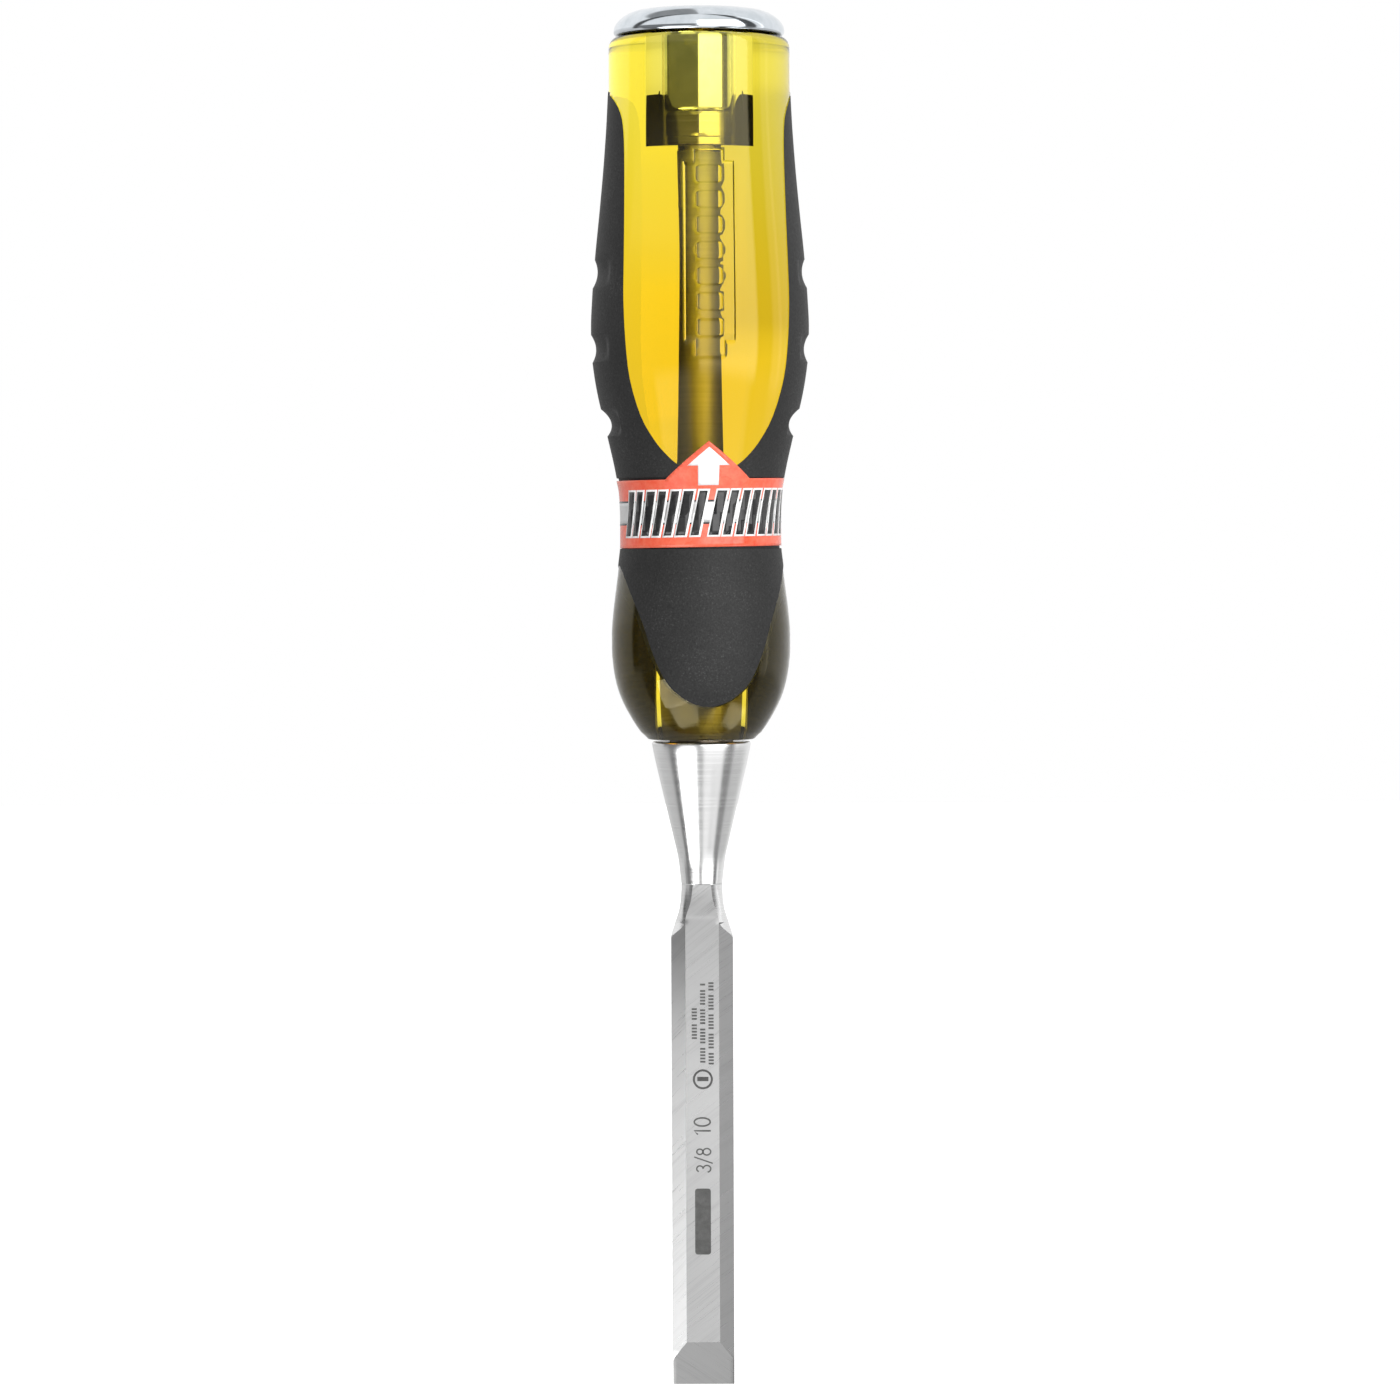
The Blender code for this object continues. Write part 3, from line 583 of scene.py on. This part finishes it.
def prism(name, slices):
    """A cutter through (y, outline) slices, each outline in X and Z."""
    count = len(slices[0][1])
    points = [(x, y, z) for y, outline in slices for x, z in outline]
    faces = [tuple(range(count)), tuple(range(len(points) - 1, len(points) - 1 - count, -1))]
    for a in range(0, len(points) - count, count):
        b = a + count
        faces += [(a + i, b + i, b + (i + 1) % count, a + (i + 1) % count) for i in range(count)]
    return solid(name, points, faces, [], turn=TURN)


def window_cutter(clearance):
    """Cuts the windows out of the rubber, in front and behind. A clearance narrows them."""
    half = grown(rounded(WINDOW), -clearance)
    back = [(x * BACK_SHARE, min(z, BACK_TOP + clearance - 0.01 * i)) for i, (x, z) in enumerate(half)]
    front, back = (mirrored([(24.0, 213.0), (24.0, side[0][1])] + side) for side in (half, back))
    return prism("window", [(-24.0, front), (-0.3, front), (0.3, back), (24.0, back)])


def tongue_cutter(clearance):
    """Cuts away the rubber below the two tongues. A clearance makes the tongues larger."""
    half = grown(rounded(TONGUE), clearance)
    outline = mirrored([(24.0, half[0][1])] + half) + [(-24.0, 106.5), (24.0, 106.5)]
    return prism("tongue", [(-24.0, outline), (24.0, outline)])


def make_core(material):
    """The clear amber: a lathed body with its bore, the recess for the rubber and the raised panel."""
    outer = [(8.4, 104.8)]
    for z in [104.88, 105.0, 105.2, 105.5, 105.8] + steps(106.1, RIM_Z, 1.1):
        outer.append((between(HANDLE, z) - SINK * min(1.0, (z - 104.8) / 2), z))
    for k in range(1, 7):
        angle = math.pi / 2 * k / 6
        outer.append((RIM_RADIUS - RIM_FALL * (1 - math.cos(angle)), RIM_Z + RIM_RISE * math.sin(angle)))
    counterbore = [(6.5, 217.6), (6.1, 217.45), (5.9, 217.1), (5.9, 216.8), (5.9, 199.9), (5.9, 199.6)]
    bore = [(between(TANG, z) + BORE_CLEARANCE, z) for z in reversed(steps(119.3, 198.6, 4.0))]
    bore.insert(0, (bore[0][0], 199.6))
    socket = [(4.6, 118.1)] + [(SOCKET_RADIUS, z) for z in (117.5, 117.2, 106.4, 106.1)]
    points, faces = lathe(outer + counterbore + bore + socket + [(5.3, 105.6), (5.45, 104.8)])
    core = solid("core_piece", points, faces, [material], turn=TURN)
    rows = steps(*SLEEVE_Z, 1.1)
    floor = [(between(HANDLE, z) - RECESS_DEPTH, z) for z in reversed(rows)]
    points, faces = lathe([(19.0, rows[0]), (19.0, rows[-1])] + floor)
    tool = solid("recess", points, faces, [], turn=TURN)
    cut(tool, window_cutter(RECESS_CLEARANCE))
    cut(tool, tongue_cutter(RECESS_CLEARANCE))
    cut(core, tool)
    for raised in panel_shapes():
        cut(core, raised, "UNION")
    return core


def over_amber(x, z, lift):
    """The point that lies so far above the front of the amber."""
    radius = between(HANDLE, z) - SINK + lift
    return (x, -math.sqrt(max(radius * radius - x * x, 0.0)), z)


def rounded_rectangle(half_width, low, high, corner):
    middle, half_height = (low + high) / 2, (high - low) / 2
    outline = []
    for quarter, (sx, sz) in enumerate(((1, 1), (-1, 1), (-1, -1), (1, -1))):
        for k in range(7):
            angle = math.pi / 2 * (quarter + k / 6)
            outline.append((
                sx * (half_width - corner) + corner * math.cos(angle),
                middle + sz * (half_height - corner) + corner * math.sin(angle),
            ))
    return outline


def raised_ring(name, outer, inner, lift):
    """A closed ridge between two outlines: sloping sides up to a crest, and a foot sunk in the amber."""
    count = len(outer)
    crest = [((x0 + x1) / 2, (z0 + z1) / 2) for (x0, z0), (x1, z1) in zip(outer, inner)]
    rings = ((outer, -0.6), (outer, -0.03), (crest, lift), (inner, -0.03), (inner, -0.6))
    points = [over_amber(x, z, h) for outline, h in rings for x, z in outline]
    faces = []
    for i in range(count):
        j = (i + 1) % count
        for a in range(5):
            b = (a + 1) % 5
            faces.append((a * count + i, a * count + j, b * count + j, b * count + i))
    return solid(name, points, faces, [], turn=TURN)


def matched(half_width, low, high, corner, width, rows, columns):
    """Outer and inner outline of a rounded frame, with the same number of points on each.

    rows and columns say into how many parts the upright and the level sides are cut.
    """
    outlines = []
    for inset in (0.0, width):
        w, h, r = half_width - inset, (high - low) / 2 - inset, max(corner - inset, 0.25)
        middle, points = (low + high) / 2, []
        corners = ((w - r, h - r, 0), (-(w - r), h - r, 1), (-(w - r), -(h - r), 2), (w - r, -(h - r), 3))
        for k, (cx, cz, quarter) in enumerate(corners):
            for step in range(7):
                angle = math.pi / 2 * (quarter + step / 6)
                points.append((cx + r * math.cos(angle), middle + cz + r * math.sin(angle)))
            x1, z1 = corners[(k + 1) % 4][:2]
            end = math.pi / 2 * (quarter + 1)
            start = (cx + r * math.cos(end), cz + r * math.sin(end))
            stop = (x1 + r * math.cos(end), z1 + r * math.sin(end))
            parts = columns if k % 2 == 0 else rows
            for step in range(1, parts):
                t = step / parts
                x = start[0] + (stop[0] - start[0]) * t
                points.append((x, middle + start[1] + (stop[1] - start[1]) * t))
        outlines.append(points)
    return outlines


def panel_outline(inset):
    """A tall panel with a narrower tab at each end, drawn in from its edge by the inset."""
    body, tab = 4.2 - inset, 2.6 - inset
    half = [
        (tab, 165.8 + inset), (tab, 168.3 + inset), (body, 168.3 + inset),
        (body, 197.1 - inset), (tab, 197.1 - inset), (tab, 199.0 - inset),
    ]
    corners, points = half + [(-x, z) for x, z in reversed(half)], []
    for i, parts in enumerate((3, 4, 40, 4, 3, 10) * 2):
        (x, z), (x1, z1) = corners[i], corners[(i + 1) % len(corners)]
        points += [(x + (x1 - x) * k / parts, z + (z1 - z) * k / parts) for k in range(parts)]
    return points


def panel_shapes():
    """A plain raised frame and a row of plain raised links inside it, on the front of the amber."""
    shapes = [raised_ring("panel_frame", panel_outline(0.0), panel_outline(0.4), 0.07)]
    for k in range(7):
        middle = 170.6 + k * 4.05
        outer, inner = matched(2.3, middle - 1.6, middle + 1.6, 0.9, 0.5, 4, 5)
        shapes.append(raised_ring(f"panel_link_{k}", outer, inner, 0.08))
    return shapes


def notch_depth(z, angle):
    """How deep the finger notches are at this height and angle."""
    side = abs(math.remainder(angle, math.pi))
    if side >= NOTCH_HALF_ANGLE:
        return 0.0
    for middle, length, depth in NOTCHES:
        along = abs(z - middle) / (length / 2)
        if along < 1.0:
            fade = min(1.0, (1.0 - (side / NOTCH_HALF_ANGLE) ** 4) * 1.6)
            return depth * (1 - along * along) * fade
    return 0.0


def grip_rows():
    """Heights of the sleeve's rings: closer together in the notches, with a sharp edge at the label's bed."""
    rows = set(steps(*SLEEVE_Z, 0.9))
    for middle, length, _ in NOTCHES:
        low, high = middle - length / 2, middle + length / 2
        rows = {z for z in rows if not low - 0.4 < z < high + 0.4} | set(steps(low, high, 0.33))
    for z in LABEL_Z:
        rows = {row for row in rows if abs(row - z) > 0.5}
    rows |= {LABEL_Z[0] - 0.28, LABEL_Z[0] - 0.22, LABEL_Z[1] + 0.22, LABEL_Z[1] + 0.28}
    return sorted(rows)


def make_grip(material):
    def radius(z):
        return between(HANDLE, z) - (LABEL_BED if LABEL_Z[0] - 0.25 < z < LABEL_Z[1] + 0.25 else 0.0)

    outside = [(radius(z), z) for z in grip_rows()]
    inside = [(between(HANDLE, z) - SLEEVE_DEPTH, z) for z in reversed(steps(*SLEEVE_Z, 1.5))]
    radii = {z: r for r, z in outside}

    def carve(r, z, angle):
        return notch_depth(z, angle) if radii.get(z) == r else 0.0

    points, faces = lathe(outside + inside, segments=240, carve=carve)
    grip = solid("grip_piece", points, faces, [material], turn=TURN)
    cut(grip, window_cutter(0.0))
    cut(grip, tongue_cutter(0.0))
    return grip


# Printed label


def label_radius(z):
    """Surface of the film: flush round the waist, lifting just clear of the handle under the peak."""
    return between(HANDLE, z) + 0.03 + 0.05 * min(max((z - LABEL_Z[1] + 1.5) / 1.5, 0.0), 1.0)


def wrapped(name, polygons, lift, material, thickness=0.03, size=0.8):
    """Flat shapes, in mm along the front of the waist and up, wrapped round the handle as a thin film."""
    made = bmesh.new()
    for polygon in polygons:
        made.faces.new([made.verts.new((s, 0.0, z)) for s, z in polygon])
    xs = [v.co.x for v in made.verts]
    zs = [v.co.z for v in made.verts]
    for normal, low, high in ((Vector((1, 0, 0)), min(xs), max(xs)), (Vector((0, 0, 1)), min(zs), max(zs))):
        for at in steps(low, high, size)[1:-1]:
            every = made.verts[:] + made.edges[:] + made.faces[:]
            bmesh.ops.bisect_plane(made, geom=every, plane_co=normal * at, plane_no=normal, dist=1e-5)
    for v in made.verts:
        s, z = v.co.x, v.co.z
        radius = (label_radius(z) + lift) * MM
        angle = s / WAIST_RADIUS + TURN - math.pi / 2
        height = (z + LABEL_SKEW * math.sin(s / WAIST_RADIUS)) * MM
        v.co = (radius * math.cos(angle), radius * math.sin(angle), height)
    bmesh.ops.recalc_face_normals(made, faces=made.faces)
    for face in made.faces:
        face.smooth = True
        centre = face.calc_center_median()
        if face.normal.dot(Vector((centre.x, centre.y, 0.0))) < 0:
            face.normal_flip()
    mesh = bpy.data.meshes.new(name)
    made.to_mesh(mesh)
    made.free()
    mesh.materials.append(material)
    obj = bpy.data.objects.new(name, mesh)
    bpy.context.scene.collection.objects.link(obj)
    skin = obj.modifiers.new("skin", "SOLIDIFY")
    skin.thickness = thickness * MM
    skin.offset = -1.0
    settle(obj)
    return obj


def box_outline(low_s, high_s, low_z, high_z, lean=0.0):
    return [(low_s, low_z), (high_s, low_z), (high_s + lean, high_z), (low_s + lean, high_z)]


def make_label(red, white, black, silver):
    """The band with its peak, the stripe between two lines, the arrow and the slanted bars."""
    reach = math.pi * WAIST_RADIUS
    foot = PEAK_HALF_ANGLE * WAIST_RADIUS
    low, high = LABEL_Z
    outline = [
        (-reach, low), (reach, low), (reach, high), (foot, high), (0.0, high + PEAK_RISE), (-foot, high),
        (-reach, high),
    ]
    band = wrapped("label_band", [outline], 0.0, red, thickness=0.12, size=0.6)
    merge = band.modifiers.new("merge", "WELD")
    merge.merge_threshold = 0.00001
    settle(band)
    piece(band, "label_sleeve")
    stripe = box_outline(-reach, reach, 139.6, 143.15)
    piece(wrapped("label_stripe", [stripe], 0.02, silver), None)
    lines = [box_outline(-reach, reach, 139.45, 139.7), box_outline(-reach, reach, 143.05, 143.3)]
    piece(wrapped("label_lines", lines, 0.04, black), None)
    arrow = [
        (-1.6, 145.6), (1.65, 145.6), (1.65, 148.75), (3.25, 148.75), (0.05, 151.7), (-3.2, 148.75),
        (-1.6, 148.75),
    ]
    piece(wrapped("label_arrow", [arrow], 0.05, white), None)
    outer, inner = [], []
    start, edge = -16.4, 0.3
    bar_low, bar_high = 137.7, 144.75
    for width, gap in BARS:
        outer.append(box_outline(start - edge, start + width + edge, bar_low - edge, bar_high + edge, 1.6))
        inner.append(box_outline(start, start + width, bar_low, bar_high, 1.5))
        start += width + gap
    piece(wrapped("label_bar_edges", outer, 0.05, white), None)
    piece(wrapped("label_bars", inner, 0.08, black), None)


# Cap, nut and washer


def make_cap(material):
    """Dome, rolled lip and hollow shank. Two points on the axis close the ends of the open profile."""
    dome = [(2.5, 222.295), (5.0, 222.27), (7.2, 222.2), (9.0, 222.05), (10.4, 221.8), (11.45, 221.42)]
    lip = [
        (12.3, 220.9), (12.95, 220.35), (13.38, 219.8), (13.63, 219.3), (13.74, 218.85), (13.75, 218.5),
        (13.68, 218.2), (13.5, 217.96), (13.2, 217.8),
    ]
    shank = [
        (5.62, 217.8), (5.55, 217.6), (5.55, 217.3), (5.55, 206.1), (5.55, 205.8), (5.45, 205.45),
        (5.2, 205.25), (2.7, 205.25), (2.6, 205.5), (2.6, 208.3),
    ]
    profile = dome + lip + shank
    points, faces = lathe(profile)
    count = len(profile)
    faces = [face for k, face in enumerate(faces) if k % count != count - 1]
    top = len(points)
    points += [(0.0, 0.0, 222.3), (0.0, 0.0, 208.3)]
    for k in range(SEGMENTS):
        a, b = k * count, (k + 1) % SEGMENTS * count
        faces += [(a, b, top), (b + count - 1, a + count - 1, top + 1)]
    return solid("cap_piece", points, faces, [material], sharp=40, turn=TURN)


def make_nut(material):
    """A hexagon nut with softened corners: its wall lies halfway between a hexagon and a circle."""
    low, high, hole, across, circle = 201.15, 205.1, 2.3, 9.6, 5.24
    count = 72
    points, faces = [], []
    for k in range(count):
        angle = 2 * math.pi * k / count
        hexagon = across / 2 / math.cos(math.remainder(angle, math.pi / 3))
        wall = 0.5 * hexagon + 0.5 * circle
        top = min(wall, 5.1)
        loop = [
            (hole, low), (top, low), (wall, low + 0.4), (wall, low + 0.7),
            (wall, high - 0.7), (wall, high - 0.4), (top, high), (hole, high),
        ]
        points += [(r * math.cos(angle), r * math.sin(angle), z) for r, z in loop]
    for k in range(count):
        a, b = k * 8, (k + 1) % count * 8
        faces += [(a + i, b + i, b + (i + 1) % 8, a + (i + 1) % 8) for i in range(8)]
    return solid("nut_piece", points, faces, [material], sharp=25)


def make_washer(material):
    loop = [(2.4, 199.7), (5.0, 199.7), (5.15, 199.85), (5.15, 200.95), (5.0, 201.1), (2.4, 201.1)]
    points, faces = lathe(loop, segments=96)
    return solid("washer_piece", points, faces, [material])


# Marks on the blade


def flat_mark(name, pieces, material):
    """Thin plates on the blade's front face. Each is a list of (x, z) outlines in mm that share edges."""
    made = bmesh.new()
    for outlines in pieces:
        front, back = {}, {}
        for outline in outlines:
            for x, z in outline:
                key = (round(x, 4), round(z, 4))
                if key not in front:
                    front[key] = made.verts.new((x * MM, (front_y(z) - 0.012) * MM, z * MM))
                    back[key] = made.verts.new((x * MM, (front_y(z) + 0.03) * MM, z * MM))
        edges = {}
        for outline in outlines:
            keys = [(round(x, 4), round(z, 4)) for x, z in outline]
            made.faces.new([front[key] for key in keys])
            made.faces.new([back[key] for key in reversed(keys)])
            for i, key in enumerate(keys):
                pair = (key, keys[(i + 1) % len(keys)])
                edge = tuple(sorted(pair))
                edges[edge] = None if edge in edges else pair
        for pair in edges.values():
            if pair:
                a, b = pair
                made.faces.new([front[b], front[a], back[a], back[b]])
    bmesh.ops.recalc_face_normals(made, faces=made.faces)
    mesh = bpy.data.meshes.new(name)
    made.to_mesh(mesh)
    made.free()
    mesh.materials.append(material)
    obj = bpy.data.objects.new(name, mesh)
    bpy.context.scene.collection.objects.link(obj)
    piece(obj, None)


def stroke(points, width, closed=False):
    """Quads along a line of (u, v) points, one after the other."""
    count = len(points)
    left, right = [], []
    for i, (u, v) in enumerate(points):
        before = points[i - 1] if closed or i else points[i]
        after = points[(i + 1) % count] if closed or i < count - 1 else points[i]
        du, dv = after[0] - before[0], after[1] - before[1]
        length = math.hypot(du, dv)
        left.append((u - dv / length * width / 2, v + du / length * width / 2))
        right.append((u + dv / length * width / 2, v - du / length * width / 2))
    pairs = [(i, (i + 1) % count) for i in range(count if closed else count - 1)]
    return [[left[i], left[j], right[j], right[i]] for i, j in pairs]


def oval(u, v, half_u, half_v, count=24, start=0.0, sweep=360.0):
    """Points on an oval, or on the part of it that the sweep covers. Angles are in degrees."""
    total = count if sweep >= 360.0 else count + 1
    angles = [math.radians(start + sweep * k / count) for k in range(total)]
    return [(u + half_u * math.cos(angle), v + half_v * math.sin(angle)) for angle in angles]


def make_marks(material):
    """Size numerals, a plain ring, rows of plain ticks and a plain dark bar, all reading up the blade."""

    def up(quads, x, z, size):
        """Turns strokes so that they read up the blade, with their tops to the left."""
        return [[(x - v * size, z + u * size) for u, v in quad] for quad in quads]

    thick = 0.1
    one = stroke([(0.02, 0.76), (0.24, 0.97), (0.24, 0.5), (0.24, 0.0)], thick)
    zero = stroke(oval(0.76, 0.5, 0.24, 0.47), thick, True)
    slash = stroke([(0.62, -0.12), (1.05, 1.12)], thick * 0.9)
    upper = oval(0.25, 0.74, 0.2, 0.22, 10, 160.0, -250.0)
    lower = oval(0.25, 0.27, 0.23, 0.26, 12, 80.0, -250.0)
    three = stroke(upper + lower, thick)
    loops = (oval(1.4, 0.74, 0.18, 0.21), oval(1.4, 0.27, 0.22, 0.26))
    eight = [stroke(loop, thick, True) for loop in loops]
    numerals = [up(one, 1.3, 40.9, 2.75), up(zero, 1.3, 40.9, 2.75)]
    numerals += [up(quads, 1.3, 34.8, 2.4) for quads in (three, slash, *eight)]
    flat_mark("blade_numerals", numerals, material)
    circle = stroke(oval(0.0, 0.0, 1.45, 1.45, 40), 0.34, True)
    ring = [[(0.05 + x, 49.9 + z) for x, z in quad] for quad in circle]
    flat_mark("blade_ring", [ring, [box_outline(-0.85, 0.95, 49.6, 50.3)]], material)
    ticks = []
    for row, (x, low, high) in enumerate(((-1.3, 55.9, 61.2), (0.05, 52.6, 65.3), (1.4, 52.3, 65.6))):
        z, k = low, 0
        while z < high:
            if (k + row) % 6:
                ticks.append([box_outline(x - 0.42, x + 0.42, z, z + 0.3)])
            z, k = z + 0.52, k + 1
    flat_mark("blade_ticks", ticks, material)
    outline = rounded_rectangle(1.28, 21.5, 32.2, 0.45)
    flat_mark("blade_bar", [[outline]], material)


# Studio

# A patch: which way round it is measured, its sides and its heights in degrees, how soft its sides are, and
# its brightness. Angle 0 lies straight in front, or straight behind for "behind", and grows to the right.
BASE_LIGHT = 0.1
HEIGHT_SOFTNESS = 3.5
FLOOR_Z = -0.09  # metres
PATCHES = [
    ("behind", (-3, 86), (-12, 90), 3.0, 0.89),
    ("behind", (-80, -3), (-12, 50), 3.0, 0.68),
    ("behind", (-80, -3), (3.5, 90), 3.0, 0.24),
    ("behind", (-93, 94), (-90, -12), 4.0, 0.54),
    ("front", (-1, 64), (-14, 45), 2.5, 3.3),
    ("front", (-90, -1), (-14, 12), 2.5, 0.12),
    ("front", (84, 97), (-14, 60), 2.5, 0.9),
    ("front", (5, 60), (-31, -14), 4.0, 1.1),
    ("front", (-8, 5), (-31, -14), 2.5, 0.4),
    ("front", (-52, -10), (-31, -14), 3.5, 1.3),
    ("front", (64, 86), (-60, -12), 4.0, 0.2),
    ("front", (-88, -52), (-60, -12), 4.0, 0.08),
    ("front", (-12, 30), (-62, -32), 4.0, 1.1),
    ("front", (54, 90), (-60, -44), 5.0, 3.0),
    ("front", (-64, -8), (-66, -48), 5.0, 3.4),
    ("front", (-1, 70), (45, 90), 3.0, 0.9),
    ("front", (-86, -1), (12, 90), 3.0, 0.9),
]


def make_world():
    """Soft studio all round the object: bright behind and in front to the right, dark gaps at the sides."""
    world = bpy.data.worlds.new("studio")
    bpy.context.scene.world = world
    world.use_nodes = True
    tree = world.node_tree
    tree.nodes.clear()
    n = Nodes(tree)
    split = n("ShaderNodeSeparateXYZ", i0=n("ShaderNodeTexCoord").outputs["Generated"]).outputs
    forward = n("ShaderNodeMath", {"operation": "MULTIPLY"}, i0=split["Y"], i1=-1.0).outputs[0]

    def degrees(value):
        return n("ShaderNodeMath", {"operation": "MULTIPLY"}, i0=value, i1=180 / math.pi).outputs[0]

    front = degrees(n("ShaderNodeMath", {"operation": "ARCTAN2"}, i0=split["X"], i1=forward).outputs[0])
    behind = degrees(n("ShaderNodeMath", {"operation": "ARCTAN2"}, i0=split["X"], i1=split["Y"]).outputs[0])
    rise = degrees(n("ShaderNodeMath", {"operation": "ARCSINE"}, i0=split["Z"]).outputs[0])

    def step(value, at, soft, up):
        low, high = (at - soft, at + soft) if up else (at + soft, at - soft)
        smooth = {"interpolation_type": "SMOOTHSTEP"}
        return n("ShaderNodeMapRange", smooth, i0=value, i1=low, i2=high).outputs[0]

    total = BASE_LIGHT
    for around, sides, heights, soft, power in PATCHES:
        value = behind if around == "behind" else front
        factors = [step(value, sides[0], soft, True), step(value, sides[1], soft, False)]
        if heights[0] > -90:
            factors.append(step(rise, heights[0], HEIGHT_SOFTNESS, True))
        if heights[1] < 90:
            factors.append(step(rise, heights[1], HEIGHT_SOFTNESS, False))
        patch = factors[0]
        for factor in factors[1:]:
            patch = n("ShaderNodeMath", {"operation": "MULTIPLY"}, i0=patch, i1=factor).outputs[0]
        total = weighed(n, patch, power, total)
    studio = n("ShaderNodeBackground", i0=total, Strength=1.0)
    plain = n("ShaderNodeBackground", i0=(1.0, 1.0, 1.0, 1.0), Strength=1.0)
    seen = n("ShaderNodeLightPath").outputs["Is Camera Ray"]
    mixed = n("ShaderNodeMixShader", i0=seen, i1=studio.outputs[0], i2=plain.outputs[0])
    out = n("ShaderNodeOutputWorld")
    tree.links.new(mixed.outputs[0], out.inputs["Surface"])


def make_floor():
    made, n, bsdf = new_material("studio_floor")
    where = n("ShaderNodeTexCoord").outputs["Object"]
    grain = n("ShaderNodeTexNoise", Vector=where, Scale=18.0, Detail=3.0).outputs["Fac"]
    link(n, n.ramp(grain, [(0.3, 0.5), (0.7, 0.52)]), bsdf, "Base Color")
    bsdf.inputs["Roughness"].default_value = 0.9
    bsdf.inputs["Emission Color"].default_value = (1.0, 1.0, 1.0, 1.0)
    bsdf.inputs["Emission Strength"].default_value = 0.75
    mesh = bpy.data.meshes.new("studio_floor")
    reach = 4.0
    corners = [(x, y, FLOOR_Z) for x, y in box_outline(-reach, reach, -reach, reach)]
    mesh.from_pydata(corners, [], [(0, 1, 2, 3)])
    mesh.materials.append(made)
    floor = bpy.data.objects.new("studio_floor", mesh)
    floor.visible_glossy = False
    floor.visible_transmission = False
    floor.visible_diffuse = False
    bpy.context.scene.collection.objects.link(floor)


def area_light(name, where, target, size, power):
    data = bpy.data.lights.new(name, "AREA")
    data.shape = "RECTANGLE"
    data.size, data.size_y = size
    data.energy = power
    obj = bpy.data.objects.new(name, data)
    obj.location = where
    obj.rotation_euler = (Vector(target) - Vector(where)).to_track_quat("-Z", "Y").to_euler()
    bpy.context.scene.collection.objects.link(obj)
    return obj


def make_camera():
    low, high = CAD_BOX
    middle = Vector((-0.0002, 0.0, (low[2] + high[2]) / 2 - 0.00006))
    distance, rise = 0.93, math.radians(1.6)
    data = bpy.data.cameras.new("camera")
    data.lens, data.sensor_width = 148.2, 36.0
    data.clip_start = 0.01
    camera = bpy.data.objects.new("camera", data)
    camera.location = middle + Vector((0.0, -distance * math.cos(rise), distance * math.sin(rise)))
    aim = (middle - camera.location).to_track_quat("-Z", "Y").to_matrix().to_4x4()
    camera.rotation_euler = (aim @ Matrix.Rotation(math.radians(-0.2), 4, "Z")).to_euler()
    bpy.context.scene.collection.objects.link(camera)
    bpy.context.scene.camera = camera


def build():
    scene = bpy.context.scene
    scene.view_settings.view_transform = "Standard"
    scene.view_settings.look = "None"

    # Front flat: the steel's grey with painted light and shade, a little brighter round its middle, darker
    # just below the neck and brighter up the neck
    flat_grey_and_painted_light = [
        (0.0, 0.33), (22.0, 0.33), (46.0, 0.37), (72.0, 0.295), (75.6, 0.285), (76.8, 0.41), (79.0, 0.5),
        (82.0, 0.54),
    ]
    # Left bevel: painted highlight, the grey rising to near white round 46 to 58 mm and falling off towards
    # the neck
    left_grey_and_painted_highlight = [
        (5.0, 0.6), (18.0, 0.71), (35.0, 0.88), (46.0, 0.98), (58.0, 0.95), (66.0, 0.7), (72.0, 0.5),
    ]
    steels = [
        ground_steel("steel_flat_painted_light", math.radians(38), 8000.0, flat_grey_and_painted_light, depth=0.000006, contrast=0.34),
        ground_steel("steel_bevel_left_painted_highlight", math.radians(48), 5200.0, left_grey_and_painted_highlight),
        # Right bevel: the same ground steel painted dark, as painted shade
        ground_steel("steel_bevel_right_painted_shade", math.radians(32), 5200.0, [(0.0, 0.19)]),
        ground_steel("steel_honed", math.radians(-35), 6500.0, [(0.0, 0.31)], depth=0.000004, contrast=0.3),
        ground_steel("steel_sides", math.radians(8), 5200.0, [(0.0, 0.55)]),
        turned_steel("steel_turned", 0.7, 0.8),
        turned_steel("steel_tang", 0.43, 0.55, rough=(0.52, 0.64), fine=1500.0),
        turned_steel("steel_boss", (0.1, 0.08, 0.06), (0.2, 0.17, 0.13), rough=(0.25, 0.4), fine=1500.0),
    ]
    piece(make_blade(steels), "blade_tang")
    marks = print_film("print_etch", (0.035, 0.035, 0.034), (0.08, 0.08, 0.078), rough=0.55)
    make_marks(marks)

    piece(make_core(amber("amber_clear")), "handle_core", smooth=30)
    piece(make_grip(rubber("rubber_black")), "grip_sleeve", smooth=30)
    make_label(
        print_film("print_red", (0.78, 0.07, 0.03), (0.82, 0.16, 0.09)),
        print_film("print_white", (0.86, 0.86, 0.86), (0.92, 0.92, 0.92)),
        print_film("print_black", (0.012, 0.012, 0.014), (0.03, 0.03, 0.03)),
        print_film("print_silver", (0.5, 0.5, 0.5), (0.62, 0.62, 0.62), rough=0.35, metallic=0.8),
    )
    piece(make_cap(chrome("chrome_cap")), "strike_cap")
    piece(make_nut(turned_steel("steel_nut", 0.4, 0.55)), "tang_nut")
    piece(make_washer(turned_steel("steel_washer", 0.35, 0.5)), "tang_washer")

    low_left = area_light("low_left", (-0.22, -0.25, -0.13), (0.0, 0.0, 0.04), (0.3, 0.2), 0.8)
    low_left.visible_camera = False
    make_world()
    make_floor()
    make_camera()


build()
